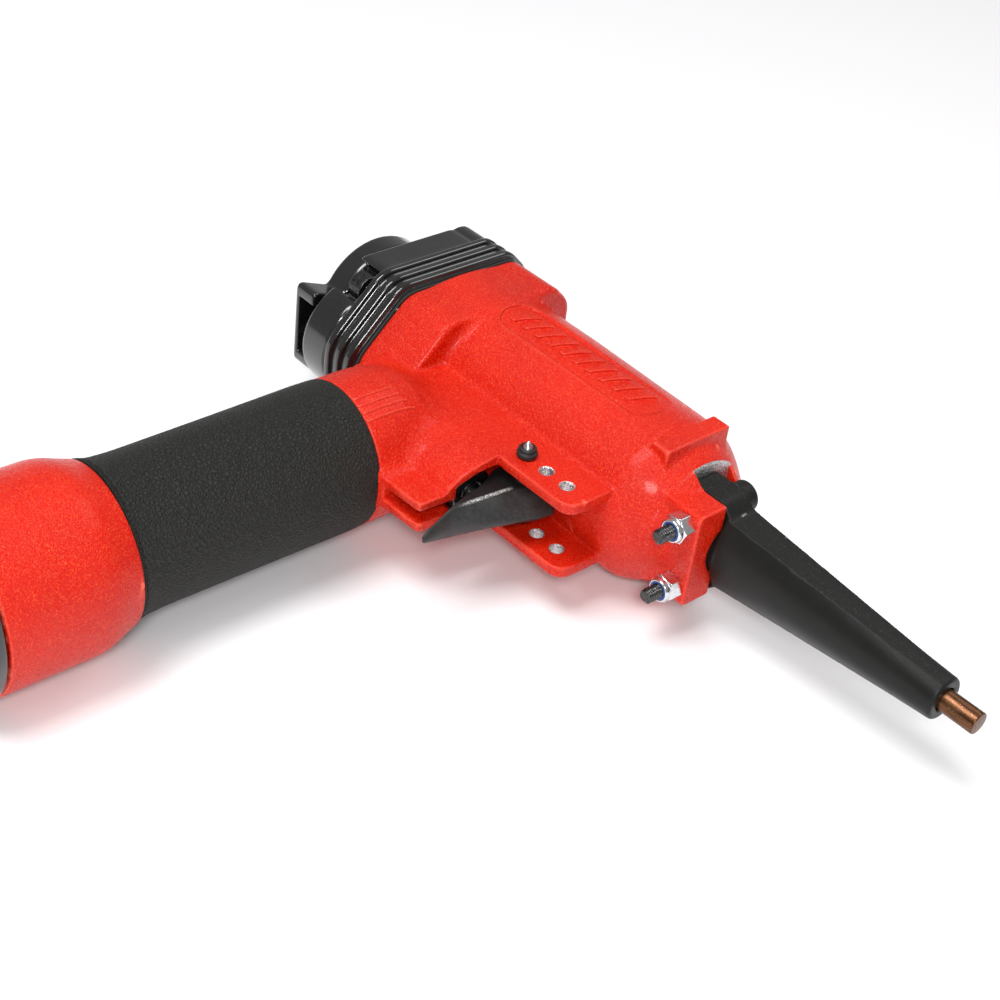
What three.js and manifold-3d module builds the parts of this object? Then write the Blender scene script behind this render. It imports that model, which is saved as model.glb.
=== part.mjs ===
// Air-powered punch nailer, lying on its right-hand side as it rests on a bench.
//
// Working frame of this file, in millimetres: +X runs along the drive axis towards the punch tip,
// -Y runs down the handle to the air inlet, and +Z is the tool's upward side as it lies.
// x = 0 is the joint between head cap and casting, and the drive axis is the line y = 0, z = 0.
// The exported group is shifted so that its origin is on the bench under the middle of the tool.

import * as THREE from 'three';
import { mergeVertices } from 'three/addons/utils/BufferGeometryUtils.js';
import { ConvexGeometry } from 'three/addons/geometries/ConvexGeometry.js';
import Module from 'manifold-3d';

const manifold = await Module();
manifold.setup();

// ---------------------------------------------------------------------------------------------
// Driving dimensions
// ---------------------------------------------------------------------------------------------

const GAP = 0.3;                 // air left between neighbouring pieces
const REST_HALF_HEIGHT = 24.6;   // drive axis to the bench
const ROUND = 24;                // sides of a large cylinder
const SMALL = 10;                // sides of a small one
const FINE = 36;                 // sides of the barrel, whose outline shows most

// barrel and head block of the casting
const BARREL_R = 24;
const DOME_START = 86;
const DOME_START_R = 23.6;
const DOME_DROP = 1;
const DOME_END = 104.5;
const DOME_END_R = 12;
const CHAMBER_R = 20.3;
const CHAMBER_END = 80;
const SEAT_R = 17.9;
const SEAT_END = 88.5;
const LUG_START = 88;
const LUG_END = 93.8;
const LUG_HALF = 11.3;
const PANEL_START = 21;
const PANEL_END = 80;
const PANEL_HALF = 6.6;
const PANEL_DEPTH = 0.7;
const HEAD_LENGTH = 19;
const HEAD_HALF_HEIGHT = 23.2;
const HEAD_CORNER_R = 3;

// handle
const HANDLE_X = 24.9;
const HANDLE_SQUEEZE = 0.945;    // the handle is this much slimmer along x than along z
const ROOT_R = 20.2;
const CORE_R = 17.6;
const GRIP_TOP = -60.9;
const GRIP_END = -131.4;
const FLARE_SHOULDER = -139;
const FLARE_R = REST_HALF_HEIGHT;
const FLARE_END = -167.3;
const HANDLE_BORE_R = 13.5;
const BORE_TOP = -52;
const END_SCREW_CIRCLE = 18.8;
const END_CAP_END = -174.5;
const INLET_END = -178.5;
const INLET_BORE_R = 5.7;

// trigger bracket: a slab under the barrel that divides into two ears
const SLAB_HALF = 11.6;
const EAR_INNER = 8.4;
const SLAB_BACK = 7;
const SLAB_FRONT = 60.5;
const EAR_END = 87.3;
const EAR_EDGE = -36.8;
const EAR_CORNER_R = 5;
const EAR_HOLE_PITCH = 7.6;
const EAR_HOLE_R = 1.75;
const POCKET_BACK = 54;
const POCKET_END = -49.2;
const HORN_TOP = -52.6;
const HORN_HALF = 4.5;
const HORN_SLOT_HALF = 2;
const PIN_X = 64.4;
const PIN_Y = -30.7;
const PIN_R = 1.9;

// trigger and its valve
const TRIGGER_HALF = 5;
const TRIGGER_SHEET = 1.6;
const TRIGGER_HUB_R = 3.1;
const FACE_BULGE = 1.7; // the power of the finger face's curve, where 2 would be a parabola
const VALVE_Y = -42;
const VALVE_FACE = 58;
const VALVE_FLANGE_R = 6.8;
const VALVE_BODY_R = 6;
const VALVE_BACK = 37;
const STEM_R = 2.1;

// nose
const NOSE_SEAT = 98;
const PLATE_NEAR = -4.5;
const PLATE_FAR = 4.3;
const PLATE_HALF = 14.1;
const FLANGE_FACE = 110.3;
const FLANGE_NEAR = -14.5;
const NOSE_BARREL_R = 8.2;
const NOSE_HALF = 10.6;
const NOSE_END = 179;
const NOSE_END_R = 5.8;
const BOLT_BOSS_R = 4.3;
const BOLT_BOSS_TOP = 8.4;
const PUNCH_R = 2.95;
const PUNCH_TIP = 188.7;
const BOLT_X = 105.6;
const BOLT_Z = 9.5;
const BOLT_R = 1.95;
const BOLT_HEAD_R = 3.1;
const NUT_FLATS = 7;
const NUT_HEIGHT = 5.1;

// head cap and deflector
const CAP_END = -23.5;
const GASKET = 0.8;
const RIB_HEIGHT = REST_HALF_HEIGHT - HEAD_HALF_HEIGHT;
const RIB_PITCH = 4.2;
const RIB_WIDTH = 2.4;
const RIB_COUNT = 3;
const REAR_BOSS_Y = -20;
const REAR_BOSS_R = 17;
const POCKET_FLOOR = -13.8;
const REAR_POCKET_R = 5.8;
const FRONT_POCKET_R = 4.9;
const HEAD_CHAMBER_R = 18.6;
const HEAD_CHAMBER_END = -20.5;
const DEFLECTOR_Y = -3;
const DEFLECTOR_R = 19.8;
const DEFLECTOR_RIM = -25.8;
const DEFLECTOR_TOP = -35;
const CAP_SCREWS = [[-21, 17.3], [-21, -17.3], [18.8, 16.6], [18.8, -16.6]];
const CAP_BOSS_R = 6.2;
const SPOUT_REACH = 28.8;

// drive train
const SLEEVE_TOP = -3;
const SLEEVE_IN = 15;
const SLEEVE_OUT = 17.5;
const PISTON_TOP = -2.4;
const PISTON_BOTTOM = 10;
const STROKE = 56;
const BUMPER_TOP = PISTON_BOTTOM + STROKE + GAP;

// ---------------------------------------------------------------------------------------------
// Solids: three.js makes every shape, manifold only joins and cuts
// ---------------------------------------------------------------------------------------------

const [ALONG_X, ALONG_Y, ALONG_Z] = [0, 1, 2].map((i) => new THREE.Vector3().setComponent(i, 1));

// Each frame lays a shape drawn in its own x and y across the named axis.
const AXIS_FRAMES = {
  x: new THREE.Matrix4().makeBasis(ALONG_Y, ALONG_Z, ALONG_X),
  y: new THREE.Matrix4().makeBasis(ALONG_Z, ALONG_X, ALONG_Y),
  z: new THREE.Matrix4(),
};

// Turns a closed three.js geometry into a solid, with shared corners merged and faces outward.
function solid(geometry) {
  geometry.deleteAttribute('uv');
  geometry.deleteAttribute('normal');
  const merged = mergeVertices(geometry, 1e-4);
  const corners = merged.attributes.position;
  const faces = [];
  let volume = 0;
  const [a, b, c] = [new THREE.Vector3(), new THREE.Vector3(), new THREE.Vector3()];
  for (let i = 0; i < merged.index.count; i += 3) {
    const face = [0, 1, 2].map((k) => merged.index.getX(i + k));
    if (new Set(face).size === 3) {
      faces.push(face);
      [a, b, c].forEach((corner, k) => corner.fromBufferAttribute(corners, face[k]));
      volume += a.dot(b.cross(c));
    }
  }
  if (volume < 0) {
    faces.forEach((face) => face.reverse());
  }
  return new manifold.Manifold(new manifold.Mesh({
    numProp: 3,
    vertProperties: new Float32Array(corners.array),
    triVerts: new Uint32Array(faces.flat()),
  }));
}

function join(first, ...others) {
  return others.reduce((sum, other) => sum.add(other), first);
}

function cut(first, ...others) {
  return others.reduce((rest, other) => rest.subtract(other), first);
}

// An outline pushed along an axis. Its two coordinates are (y, z), (z, x) or (x, y).
function prism(axis, shape, from, to, curveSegments = 2) {
  const depth = to - from;
  const geometry = new THREE.ExtrudeGeometry(shape, { depth, bevelEnabled: false, curveSegments });
  geometry.translate(0, 0, from);
  return solid(geometry.applyMatrix4(AXIS_FRAMES[axis]));
}

// A profile of [along, radius] points turned round an axis, then moved to the axis's place.
function revolve(axis, profile, { at = [0, 0, 0], sides = ROUND, squeeze = 1 } = {}) {
  const points = profile.map(([along, radius]) => new THREE.Vector2(radius, along));
  const geometry = new THREE.LatheGeometry(points, sides);
  geometry.rotateX(Math.PI / 2);
  geometry.applyMatrix4(AXIS_FRAMES[axis]);
  geometry.scale(squeeze, 1, 1);
  geometry.translate(...at);
  return solid(geometry);
}

function rod(axis, radius, from, to, options) {
  return revolve(axis, [[from, 0], [from, radius], [to, radius], [to, 0]], options);
}

function ring(axis, inner, outer, from, to, options) {
  return revolve(axis, [[from, inner], [from, outer], [to, outer], [to, inner], [from, inner]], options);
}

// A rubber ring of round section whose middle line has the given radius.
function oRing(axis, radius, section, along, options) {
  const steps = 6;
  const profile = [];
  for (let i = 0; i <= steps; i += 1) {
    const angle = (2 * Math.PI * (i % steps)) / steps;
    profile.push([along + section * Math.cos(angle), radius + section * Math.sin(angle)]);
  }
  return revolve(axis, profile, options);
}

function box(x, y, z) {
  const geometry = new THREE.BoxGeometry(x[1] - x[0], y[1] - y[0], z[1] - z[0]);
  geometry.translate((x[0] + x[1]) / 2, (y[0] + y[1]) / 2, (z[0] + z[1]) / 2);
  return solid(geometry);
}

function hull(points) {
  return solid(new ConvexGeometry(points.map((point) => new THREE.Vector3(...point))));
}

// A closed outline whose corners [a, b, radius] are rounded by their own radius, if they have one.
function outline(corners, radius = 0) {
  const shape = new THREE.Shape();
  const count = corners.length;
  corners.forEach(([a, b, own], i) => {
    const corner = new THREE.Vector2(a, b);
    const before = new THREE.Vector2(...corners[(i + count - 1) % count].slice(0, 2));
    const after = new THREE.Vector2(...corners[(i + 1) % count].slice(0, 2));
    const reach = own ?? radius;
    const start = corner.clone().add(before.sub(corner).setLength(reach));
    const end = corner.clone().add(after.sub(corner).setLength(reach));
    if (i === 0) {
      shape.moveTo(start.x, start.y);
    } else {
      shape.lineTo(start.x, start.y);
    }
    if (reach > 0) {
      shape.quadraticCurveTo(corner.x, corner.y, end.x, end.y);
    }
  });
  shape.closePath();
  return shape;
}

function hexagon(acrossFlats, [a, b] = [0, 0]) {
  const radius = acrossFlats / Math.sqrt(3);
  const corners = [];
  for (let i = 0; i < 6; i += 1) {
    const angle = (Math.PI / 3) * i;
    corners.push([a + radius * Math.cos(angle), b + radius * Math.sin(angle)]);
  }
  return outline(corners);
}

// A compression spring along x: round wire on a helix whose end coils close up flat.
class SpringCurve extends THREE.Curve {
  constructor(radius, from, to, turns, y, z) {
    super();
    Object.assign(this, { radius, from, to, turns, y, z });
  }

  getPoint(t, target = new THREE.Vector3()) {
    const angle = 2 * Math.PI * this.turns * t;
    const eased = t - Math.sin(2 * Math.PI * t) / (2.6 * Math.PI);
    return target.set(
      this.from + (this.to - this.from) * eased,
      this.y + this.radius * Math.cos(angle),
      this.z + this.radius * Math.sin(angle),
    );
  }
}

function spring(radius, wire, from, to, turns, y = 0, z = 0) {
  const curve = new SpringCurve(radius, from + wire, to - wire, turns, y, z);
  const section = new THREE.Shape().absarc(0, 0, wire, 0, 2 * Math.PI);
  const steps = turns * 10;
  return solid(new THREE.ExtrudeGeometry(section, { steps, extrudePath: curve, curveSegments: 3 }));
}

// ---------------------------------------------------------------------------------------------
// Materials
// ---------------------------------------------------------------------------------------------

function finish(color, roughness, metalness = 0) {
  return new THREE.MeshStandardMaterial({ color, roughness, metalness });
}

const RED_PAINT = finish(0xd8201a, 0.38);
const BLACK_RUBBER = finish(0x1d201e, 0.75);
const GLOSS_BLACK = finish(0x0b0b0c, 0.2);
const BLACK_STEEL = finish(0x1a1a1b, 0.45, 0.6);
const BLACK_CASTING = finish(0x121213, 0.55, 0.3);
const ZINC = finish(0xcfd2d6, 0.18, 1);
const BLUE_NYLON = finish(0x1b3f8f, 0.5);
const COPPER_STEEL = finish(0x7a4630, 0.3, 0.9);
const ALUMINIUM = finish(0xb9bcc0, 0.35, 1);
const STEEL = finish(0x9a9da1, 0.3, 1);
const SEAL_RUBBER = finish(0x2b2b2a, 0.7);
const BRASS = finish(0xb08a3c, 0.3, 1);
const GASKET_PAPER = finish(0x202021, 0.85);

const tool = new THREE.Group();

function place(name, material, shape) {
  const { vertProperties, triVerts, numProp } = shape.getMesh();
  const geometry = new THREE.BufferGeometry();
  geometry.setAttribute('position', new THREE.BufferAttribute(new Float32Array(vertProperties), numProp));
  geometry.setIndex(new THREE.BufferAttribute(new Uint32Array(triVerts), 1));
  geometry.computeVertexNormals();
  const mesh = new THREE.Mesh(geometry, material);
  mesh.name = name;
  tool.add(mesh);
}

// ---------------------------------------------------------------------------------------------
// Casting
// ---------------------------------------------------------------------------------------------

// The outline that casting, gasket and cap share where they meet, as (y, z) corners.
function headOutline(growth = 0) {
  const top = HEAD_HALF_HEIGHT + growth;
  const front = 26 + growth;
  const rear = -36.2 - growth;
  const side = 0.42 * growth;
  return outline([
    [19.5 + side, top], [front, 16.5 + side], [front, -16.5 - side], [19.5 + side, -top],
    [-19.5 - side, -top, 4], [rear, -6.3 - side, 5], [rear, 6.3 + side, 5], [-19.5 - side, top, 4],
  ], HEAD_CORNER_R);
}

// A ring of points round the drive axis, moved down by `drop`.
function circleOfPoints(x, radius, sides, drop = 0) {
  return Array.from({ length: sides }, (_, i) => {
    const angle = (2 * Math.PI * (i + 0.5)) / sides;
    return [x, radius * Math.cos(angle) - drop, radius * Math.sin(angle)];
  });
}

// The barrel draws in a little towards the nose and sinks towards the handle side as it does so.
function barrel() {
  const sections = [
    [0.5, BARREL_R, 0], [40, BARREL_R, 0], [DOME_START, DOME_START_R, DOME_DROP],
    ...[0.35, 0.6, 0.8, 1].map((part) => [
      DOME_START + (DOME_END - DOME_START) * part,
      DOME_START_R - (DOME_START_R - DOME_END_R) * part ** 1.6,
      DOME_DROP,
    ]),
  ];
  return hull(sections.flatMap(([x, radius, drop]) => circleOfPoints(x, radius, FINE, drop)));
}

// The root of the handle swells out of the slab, then the core runs under the grip to the flare.
function handle() {
  const root = [
    [-30, 0], [-33, 11.6], [-37, 15.4], [-42, 18.6], [-48, ROOT_R], [GRIP_TOP, ROOT_R],
    [GRIP_TOP, CORE_R], [GRIP_END - 1, CORE_R], [GRIP_END - 1, 0],
  ];
  const flare = [
    [GRIP_END - 8, 0], [GRIP_END, 19], [GRIP_END, 21.2], [FLARE_SHOULDER, FLARE_R],
    [FLARE_END, FLARE_R], [FLARE_END, 0],
  ];
  return join(
    revolve('y', root, { at: [HANDLE_X, 0, 0], squeeze: HANDLE_SQUEEZE }),
    revolve('y', flare, { at: [HANDLE_X, 0, 0] }),
  );
}

// Four raised lines for the thumb, cast into each face of the handle root.
function thumbLines() {
  const offsets = [5.3, 7.5, 9.4, 11.3];
  const ends = [-48.7, -48, -46.8, -45.4];
  const lines = offsets.flatMap((offset, i) => {
    const reach = offset / (ROOT_R * HANDLE_SQUEEZE);
    const surface = ROOT_R * Math.sqrt(1 - reach * reach);
    const x = HANDLE_X + offset;
    return [1, -1].map((side) => {
      const z = [side * (surface - 1), side * (surface + 0.35)].sort((low, high) => low - high);
      return box([x - 0.3, x + 0.3], [GRIP_TOP, ends[i]], z);
    });
  });
  return join(...lines);
}

// The slab thins in a long slope to the narrow horn that guards the tip of the trigger.
function triggerBracket() {
  const slab = prism('z', outline([
    [SLAB_BACK, -12, 0], [SLAB_BACK, EAR_EDGE, 0], [SLAB_FRONT, EAR_EDGE, 0],
    [EAR_END, EAR_EDGE, EAR_CORNER_R], [EAR_END, -12, 0],
  ]), -SLAB_HALF, SLAB_HALF);
  const slopeSections = [
    [EAR_EDGE + 0.1, SLAB_BACK, SLAB_FRONT, SLAB_HALF], [-42, SLAB_BACK, SLAB_FRONT, 10.8],
    [-47.8, SLAB_BACK, 60, 9.2], [-51, 36, 59.4, 6.2], [HORN_TOP, 36, 59.3, HORN_HALF],
  ].map(([y, back, front, half]) => [
    [back, y, half], [back, y, -half], [front, y, half], [front, y, -half],
  ]);
  const slope = slopeSections.slice(1).map((section, i) => hull([...slopeSections[i], ...section]));
  const horn = prism('z', outline([
    [36, HORN_TOP + 1, 0], [59.3, HORN_TOP + 1, 0], [58.9, -60.1, 0.8],
    [53, GRIP_TOP + 0.1, 4], [36, GRIP_TOP, 0],
  ]), -HORN_HALF, HORN_HALF);
  const hornSlot = box([45.5, 62], [-64, POCKET_END], [-HORN_SLOT_HALF, HORN_SLOT_HALF]);
  const pocket = prism('x', outline([
    [-24.5, EAR_INNER], [-43, EAR_INNER], [POCKET_END, 5.8],
    [POCKET_END, -5.8], [-43, -EAR_INNER], [-24.5, -EAR_INNER],
  ]), POCKET_BACK, SLAB_FRONT + 1);
  const earGap = box([SLAB_FRONT, EAR_END + 1], [EAR_EDGE - 1, -12], [-EAR_INNER, EAR_INNER]);
  const holes = [0, 1, 2].map((i) => rod(
    'z', i === 0 ? PIN_R + 0.15 : EAR_HOLE_R, -SLAB_HALF - 1, SLAB_HALF + 1,
    { at: [PIN_X + i * EAR_HOLE_PITCH, PIN_Y, 0], sides: 20 },
  ));
  return cut(join(slab, ...slope, horn), hornSlot, pocket, earGap, ...holes);
}

// A cast bar across the top of the barrel, just behind the nose.
function barLug() {
  const top = HEAD_HALF_HEIGHT - 0.2;
  return box([LUG_START, LUG_END], [-LUG_HALF, LUG_HALF], [8, top]);
}

function noseFlange() {
  return box([92, FLANGE_FACE], [FLANGE_NEAR, PLATE_NEAR - 0.2], [-PLATE_HALF, PLATE_HALF]);
}

// A long recessed panel on top of the barrel, with slanting ribs standing on its floor.
function panelRecess() {
  const shape = outline([
    [PANEL_START, -PANEL_HALF], [PANEL_END, -PANEL_HALF], [PANEL_END, PANEL_HALF], [PANEL_START, PANEL_HALF],
  ], PANEL_HALF);
  const floor = rod('x', BARREL_R - PANEL_DEPTH, 0, PANEL_END + 20, { sides: FINE });
  return cut(prism('z', shape, BARREL_R - 14, BARREL_R + 6, 8), floor);
}

function panelRibs() {
  const [count, pitch, half] = [10, 5, 3.8];
  const ribs = Array.from({ length: count }, (_, i) => {
    const x = PANEL_START + 6.5 + i * pitch;
    const slant = outline([[x - 2.6, -half], [x - 1, -half], [x + 2.6, half], [x + 1, half]]);
    return prism('z', slant, BARREL_R - 4, BARREL_R + 6);
  });
  const skin = ring('x', BARREL_R - 1.2, BARREL_R - 0.15, PANEL_START, PANEL_END, { sides: FINE });
  return join(...ribs).intersect(skin);
}

// The bores that run through casting and trigger bracket alike.
function innerBores() {
  const axisOfHandle = { at: [HANDLE_X, 0, 0] };
  const neck = [[BORE_TOP - 1, 0], [BORE_TOP - 1, 8.5], [-14, 8.5], [-14, 0]];
  return [
    rod('x', CHAMBER_R, -1, CHAMBER_END),
    rod('x', SEAT_R, CHAMBER_END - 1, SEAT_END),
    rod('y', HANDLE_BORE_R, FLARE_END - 1, BORE_TOP, axisOfHandle),
    revolve('y', neck, { ...axisOfHandle, squeeze: 1.3 }),
    rod('x', VALVE_BODY_R + 0.2, 28, POCKET_BACK + 1, { at: [0, VALVE_Y, 0], sides: 28 }),
  ];
}

// The slot that the nose plate sits in, and every screw hole.
function fixingHollows() {
  const boltHoles = [1, -1].map((side) => rod(
    'y', 2.2, FLANGE_NEAR - 1, 0, { at: [BOLT_X, 0, side * BOLT_Z], sides: SMALL },
  ));
  const screwHoles = CAP_SCREWS.map(([y, z]) => rod('x', 2.5, -1, 14, { at: [0, y, z], sides: SMALL }));
  const endHoles = endScrewPlaces().map(([x, z]) => rod(
    'y', 2.1, FLARE_END - 1, -152, { at: [x, 0, z], sides: SMALL },
  ));
  return [
    rod('x', 5.7, SEAT_END - 1, DOME_END + 1),
    box([NOSE_SEAT, DOME_END + 8], [PLATE_NEAR - 0.2, BOLT_BOSS_TOP + 0.8], [-BARREL_R, BARREL_R]),
    rod('x', NOSE_BARREL_R + GAP, NOSE_SEAT, FLANGE_FACE + 1),
    ...boltHoles,
    ...screwHoles,
    ...endHoles,
  ];
}

function housing() {
  const head = prism('x', headOutline(), 0, HEAD_LENGTH);
  const shell = join(barrel(), head, handle(), barLug(), noseFlange());
  const bores = innerBores();
  const carved = cut(shell, panelRecess(), ...bores, ...fixingHollows());
  return join(carved, cut(triggerBracket(), ...bores), thumbLines(), panelRibs());
}

// ---------------------------------------------------------------------------------------------
// Handle fittings
// ---------------------------------------------------------------------------------------------

function gripSleeve() {
  const inner = CORE_R + 0.25;
  const profile = [
    [GRIP_TOP - 0.1, inner], [GRIP_TOP - 0.1, 20.4], [GRIP_TOP - 1, 20.8], [-90, 20.5], [-122, 20.3],
    [-129, 20.9], [GRIP_END + 0.2, 21.6], [GRIP_END + 0.2, inner], [GRIP_TOP - 0.1, inner],
  ];
  return revolve('y', profile, { at: [HANDLE_X, 0, 0], squeeze: HANDLE_SQUEEZE });
}

function endScrewPlaces() {
  return [90, 210, 330].map((degrees) => {
    const angle = THREE.MathUtils.degToRad(degrees);
    return [HANDLE_X + END_SCREW_CIRCLE * Math.cos(angle), END_SCREW_CIRCLE * Math.sin(angle)];
  });
}

function handleEndCap() {
  const at = [HANDLE_X, 0, 0];
  const rim = FLARE_R - 0.2;
  const spigot = HANDLE_BORE_R - GAP;
  const [top, grooveFloor] = [-157, 11.9];
  const body = revolve('y', [
    [END_CAP_END, 0], [END_CAP_END, rim - 2], [END_CAP_END + 2, rim], [FLARE_END, rim],
    [FLARE_END, spigot], [top - 4.2, spigot], [top - 4.2, grooveFloor], [top - 2, grooveFloor],
    [top - 2, spigot], [top, spigot], [top, 0],
  ], { at });
  const recesses = endScrewPlaces().flatMap(([x, z]) => [
    rod('y', 3.9, END_CAP_END - 1, -170.4, { at: [x, 0, z], sides: SMALL }),
    rod('y', 2.1, -171, -160, { at: [x, 0, z], sides: SMALL }),
  ]);
  return cut(body, rod('y', 8.6, END_CAP_END - 1, -156, { at }), ...recesses);
}

function airInlet() {
  const at = [HANDLE_X, 0, 0];
  const flats = prism('y', hexagon(19, [0, HANDLE_X]), INLET_END, END_CAP_END);
  const neck = rod('y', 8.4, END_CAP_END - 0.1, -157, { at, sides: 24 });
  const bore = revolve('y', [
    [INLET_END - 1.5, 0], [INLET_END - 1.5, 6.6], [INLET_END + 1, INLET_BORE_R],
    [-156, INLET_BORE_R], [-156, 0],
  ], { at, sides: 24 });
  return cut(join(flats, neck), bore);
}

function inletFilter() {
  const at = [HANDLE_X, 0, 0];
  const holes = [0, 1, 2, 3, 4, 5].map((i) => {
    const angle = (Math.PI / 3) * i;
    return rod('y', 0.9, -162, -158, {
      at: [HANDLE_X + 3 * Math.cos(angle), 0, 3 * Math.sin(angle)], sides: 8,
    });
  });
  const middle = rod('y', 0.9, -162, -158, { at, sides: 8 });
  return cut(rod('y', 5.4, -161, -159.8, { at, sides: SMALL }), middle, ...holes);
}

// A socket-head cap screw. Its head's free end is at `top`, and it points along `direction`.
function capScrew(axis, { top, direction, head, shank, length, socket, at }) {
  const [headR, headHeight] = head;
  const under = top + direction * headHeight;
  const tip = under + direction * length;
  const chamfer = 0.15 * headR;
  const body = revolve(axis, [
    [top, 0], [top, headR - chamfer], [top + direction * chamfer, headR], [under, headR],
    [under, shank], [tip - direction * 0.4, shank], [tip, shank - 0.4], [tip, 0],
  ], { at, sides: SMALL });
  const depth = [top - direction, top + direction * headHeight * 0.55].sort((low, high) => low - high);
  const places = { x: [at[1], at[2]], y: [at[2], at[0]], z: [at[0], at[1]] };
  return cut(body, prism(axis, hexagon(socket, places[axis]), ...depth));
}

// ---------------------------------------------------------------------------------------------
// Head
// ---------------------------------------------------------------------------------------------

function gasket() {
  const holes = CAP_SCREWS.map(([y, z]) => rod('x', 2.6, -2, 1, { at: [0, y, z], sides: SMALL }));
  return cut(prism('x', headOutline(-0.2), -GASKET, 0), rod('x', CHAMBER_R, -2, 1), ...holes);
}

function capRib(index) {
  const centre = -GASKET - 1.9 - index * RIB_PITCH;
  const half = RIB_WIDTH / 2;
  return prism('x', headOutline(RIB_HEIGHT), centre - half, centre + half);
}

function headCap() {
  const boss = { at: [0, DEFLECTOR_Y, 0] };
  const ribs = Array.from({ length: RIB_COUNT }, (_, i) => capRib(i));
  const top = HEAD_HALF_HEIGHT - 0.3;
  const block = outline([
    [17, top], [23.2, 14.8], [23.2, -14.8], [17, -top], [-18, -top], [-24, -15], [-24, 15], [-18, top],
  ], 3);
  const frontBosses = CAP_SCREWS.filter(([y]) => y > 0).map(([y, z]) => rod(
    'x', CAP_BOSS_R, CAP_END, POCKET_FLOOR + 1, { at: [0, y, z] },
  ));
  const body = join(
    prism('x', headOutline(), POCKET_FLOOR + 0.4, -GASKET),
    prism('x', block, CAP_END, POCKET_FLOOR + 1),
    rod('x', REAR_BOSS_R, CAP_END, POCKET_FLOOR + 1, { at: [0, REAR_BOSS_Y, 0] }),
    rod('x', 7.5, CAP_END - 2, CAP_END + 1, boss),
    ...frontBosses,
    ...ribs,
  );
  const pockets = CAP_SCREWS.flatMap(([y, z]) => [
    rod('x', y > 0 ? FRONT_POCKET_R : REAR_POCKET_R, CAP_END - 1, POCKET_FLOOR, { at: [0, y, z], sides: 20 }),
    rod('x', 2.6, POCKET_FLOOR - 1, 0, { at: [0, y, z], sides: SMALL }),
  ]);
  const ports = Array.from({ length: 6 }, (_, i) => {
    const angle = (Math.PI / 3) * i;
    return rod('x', 1.8, CAP_END - 1, HEAD_CHAMBER_END + 1, {
      at: [0, DEFLECTOR_Y + 11 * Math.cos(angle), 11 * Math.sin(angle)], sides: 8,
    });
  });
  const cavity = rod('x', HEAD_CHAMBER_R, HEAD_CHAMBER_END, 0);
  const thread = rod('x', 2.1, CAP_END - 3, CAP_END + 2, { ...boss, sides: SMALL });
  return cut(body, cavity, thread, ...pockets, ...ports);
}

// The deflector turns about its screw and blows the exhaust out through one hooded spout.
function deflector() {
  const boss = { at: [0, DEFLECTOR_Y, 0] };
  const cup = revolve('x', [
    [DEFLECTOR_RIM, 17.8], [DEFLECTOR_RIM, DEFLECTOR_R], [DEFLECTOR_TOP + 1.6, DEFLECTOR_R],
    [DEFLECTOR_TOP, DEFLECTOR_R - 1.8], [DEFLECTOR_TOP, 0], [DEFLECTOR_TOP + 2.6, 0],
    [DEFLECTOR_TOP + 2.6, 17.8], [DEFLECTOR_RIM, 17.8],
  ], boss);
  const hub = rod('x', 6, DEFLECTOR_TOP + 1, CAP_END - 2 - GAP, { ...boss, sides: 28 });
  const spout = (near, far, reach, radius) => outline([
    [DEFLECTOR_Y - 14, -near, 0], [DEFLECTOR_Y - 14, near, 0],
    [DEFLECTOR_Y - reach, far, radius], [DEFLECTOR_Y - reach, -far, radius],
  ]);
  const hood = prism('x', spout(8, 13.6, SPOUT_REACH, 3), DEFLECTOR_TOP + 0.8, DEFLECTOR_RIM);
  const mouth = prism('x', spout(5.5, 11, SPOUT_REACH + 1.5, 0), DEFLECTOR_TOP + 2.6, DEFLECTOR_RIM + 1);
  const screwWay = join(
    rod('x', 5.2, DEFLECTOR_TOP - 1, DEFLECTOR_TOP + 1.8, { ...boss, sides: 28 }),
    rod('x', 2.4, DEFLECTOR_TOP, CAP_END, { ...boss, sides: SMALL }),
  );
  return cut(join(cup, hood, hub), mouth.subtract(rod('x', 6, DEFLECTOR_TOP, CAP_END, boss)), screwWay);
}

function headValve() {
  return revolve('x', [
    [-13, 0], [-13, 7], [-8, 7], [-8, 18.2], [-7.4, 18.2], [-7.4, 17.2], [-6.2, 17.2], [-6.2, 18.2],
    [-5, 18.2], [-5, 0],
  ]);
}

// ---------------------------------------------------------------------------------------------
// Cylinder, piston and punch
// ---------------------------------------------------------------------------------------------

function cylinderSleeve() {
  const foot = SEAT_END - 0.1;
  const profile = [
    [SLEEVE_TOP, SLEEVE_IN], [SLEEVE_TOP, SLEEVE_OUT], [70, SLEEVE_OUT], [70, 20],
    [72.4, 20], [72.4, 18.7], [74.6, 18.7], [74.6, 20], [77, 20], [77, SLEEVE_OUT],
    [foot, SLEEVE_OUT], [foot, SLEEVE_IN], [SLEEVE_TOP, SLEEVE_IN],
  ];
  const holes = [0, 1, 2].map((i) => {
    const geometry = new THREE.CylinderGeometry(1.3, 1.3, 44, 8);
    geometry.rotateX((Math.PI / 3) * i);
    geometry.translate(60, 0, 0);
    return solid(geometry);
  });
  return cut(revolve('x', profile), ...holes);
}

function piston() {
  const r = SLEEVE_IN - GAP;
  return revolve('x', [
    [PISTON_TOP, 0], [PISTON_TOP, r - 0.6], [PISTON_TOP + 0.6, r],
    [2.4, r], [2.4, 12.9], [5.2, 12.9], [5.2, r],
    [PISTON_BOTTOM, r], [PISTON_BOTTOM, PUNCH_R + 2], [8, PUNCH_R + 2], [8, 0],
  ]);
}

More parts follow.
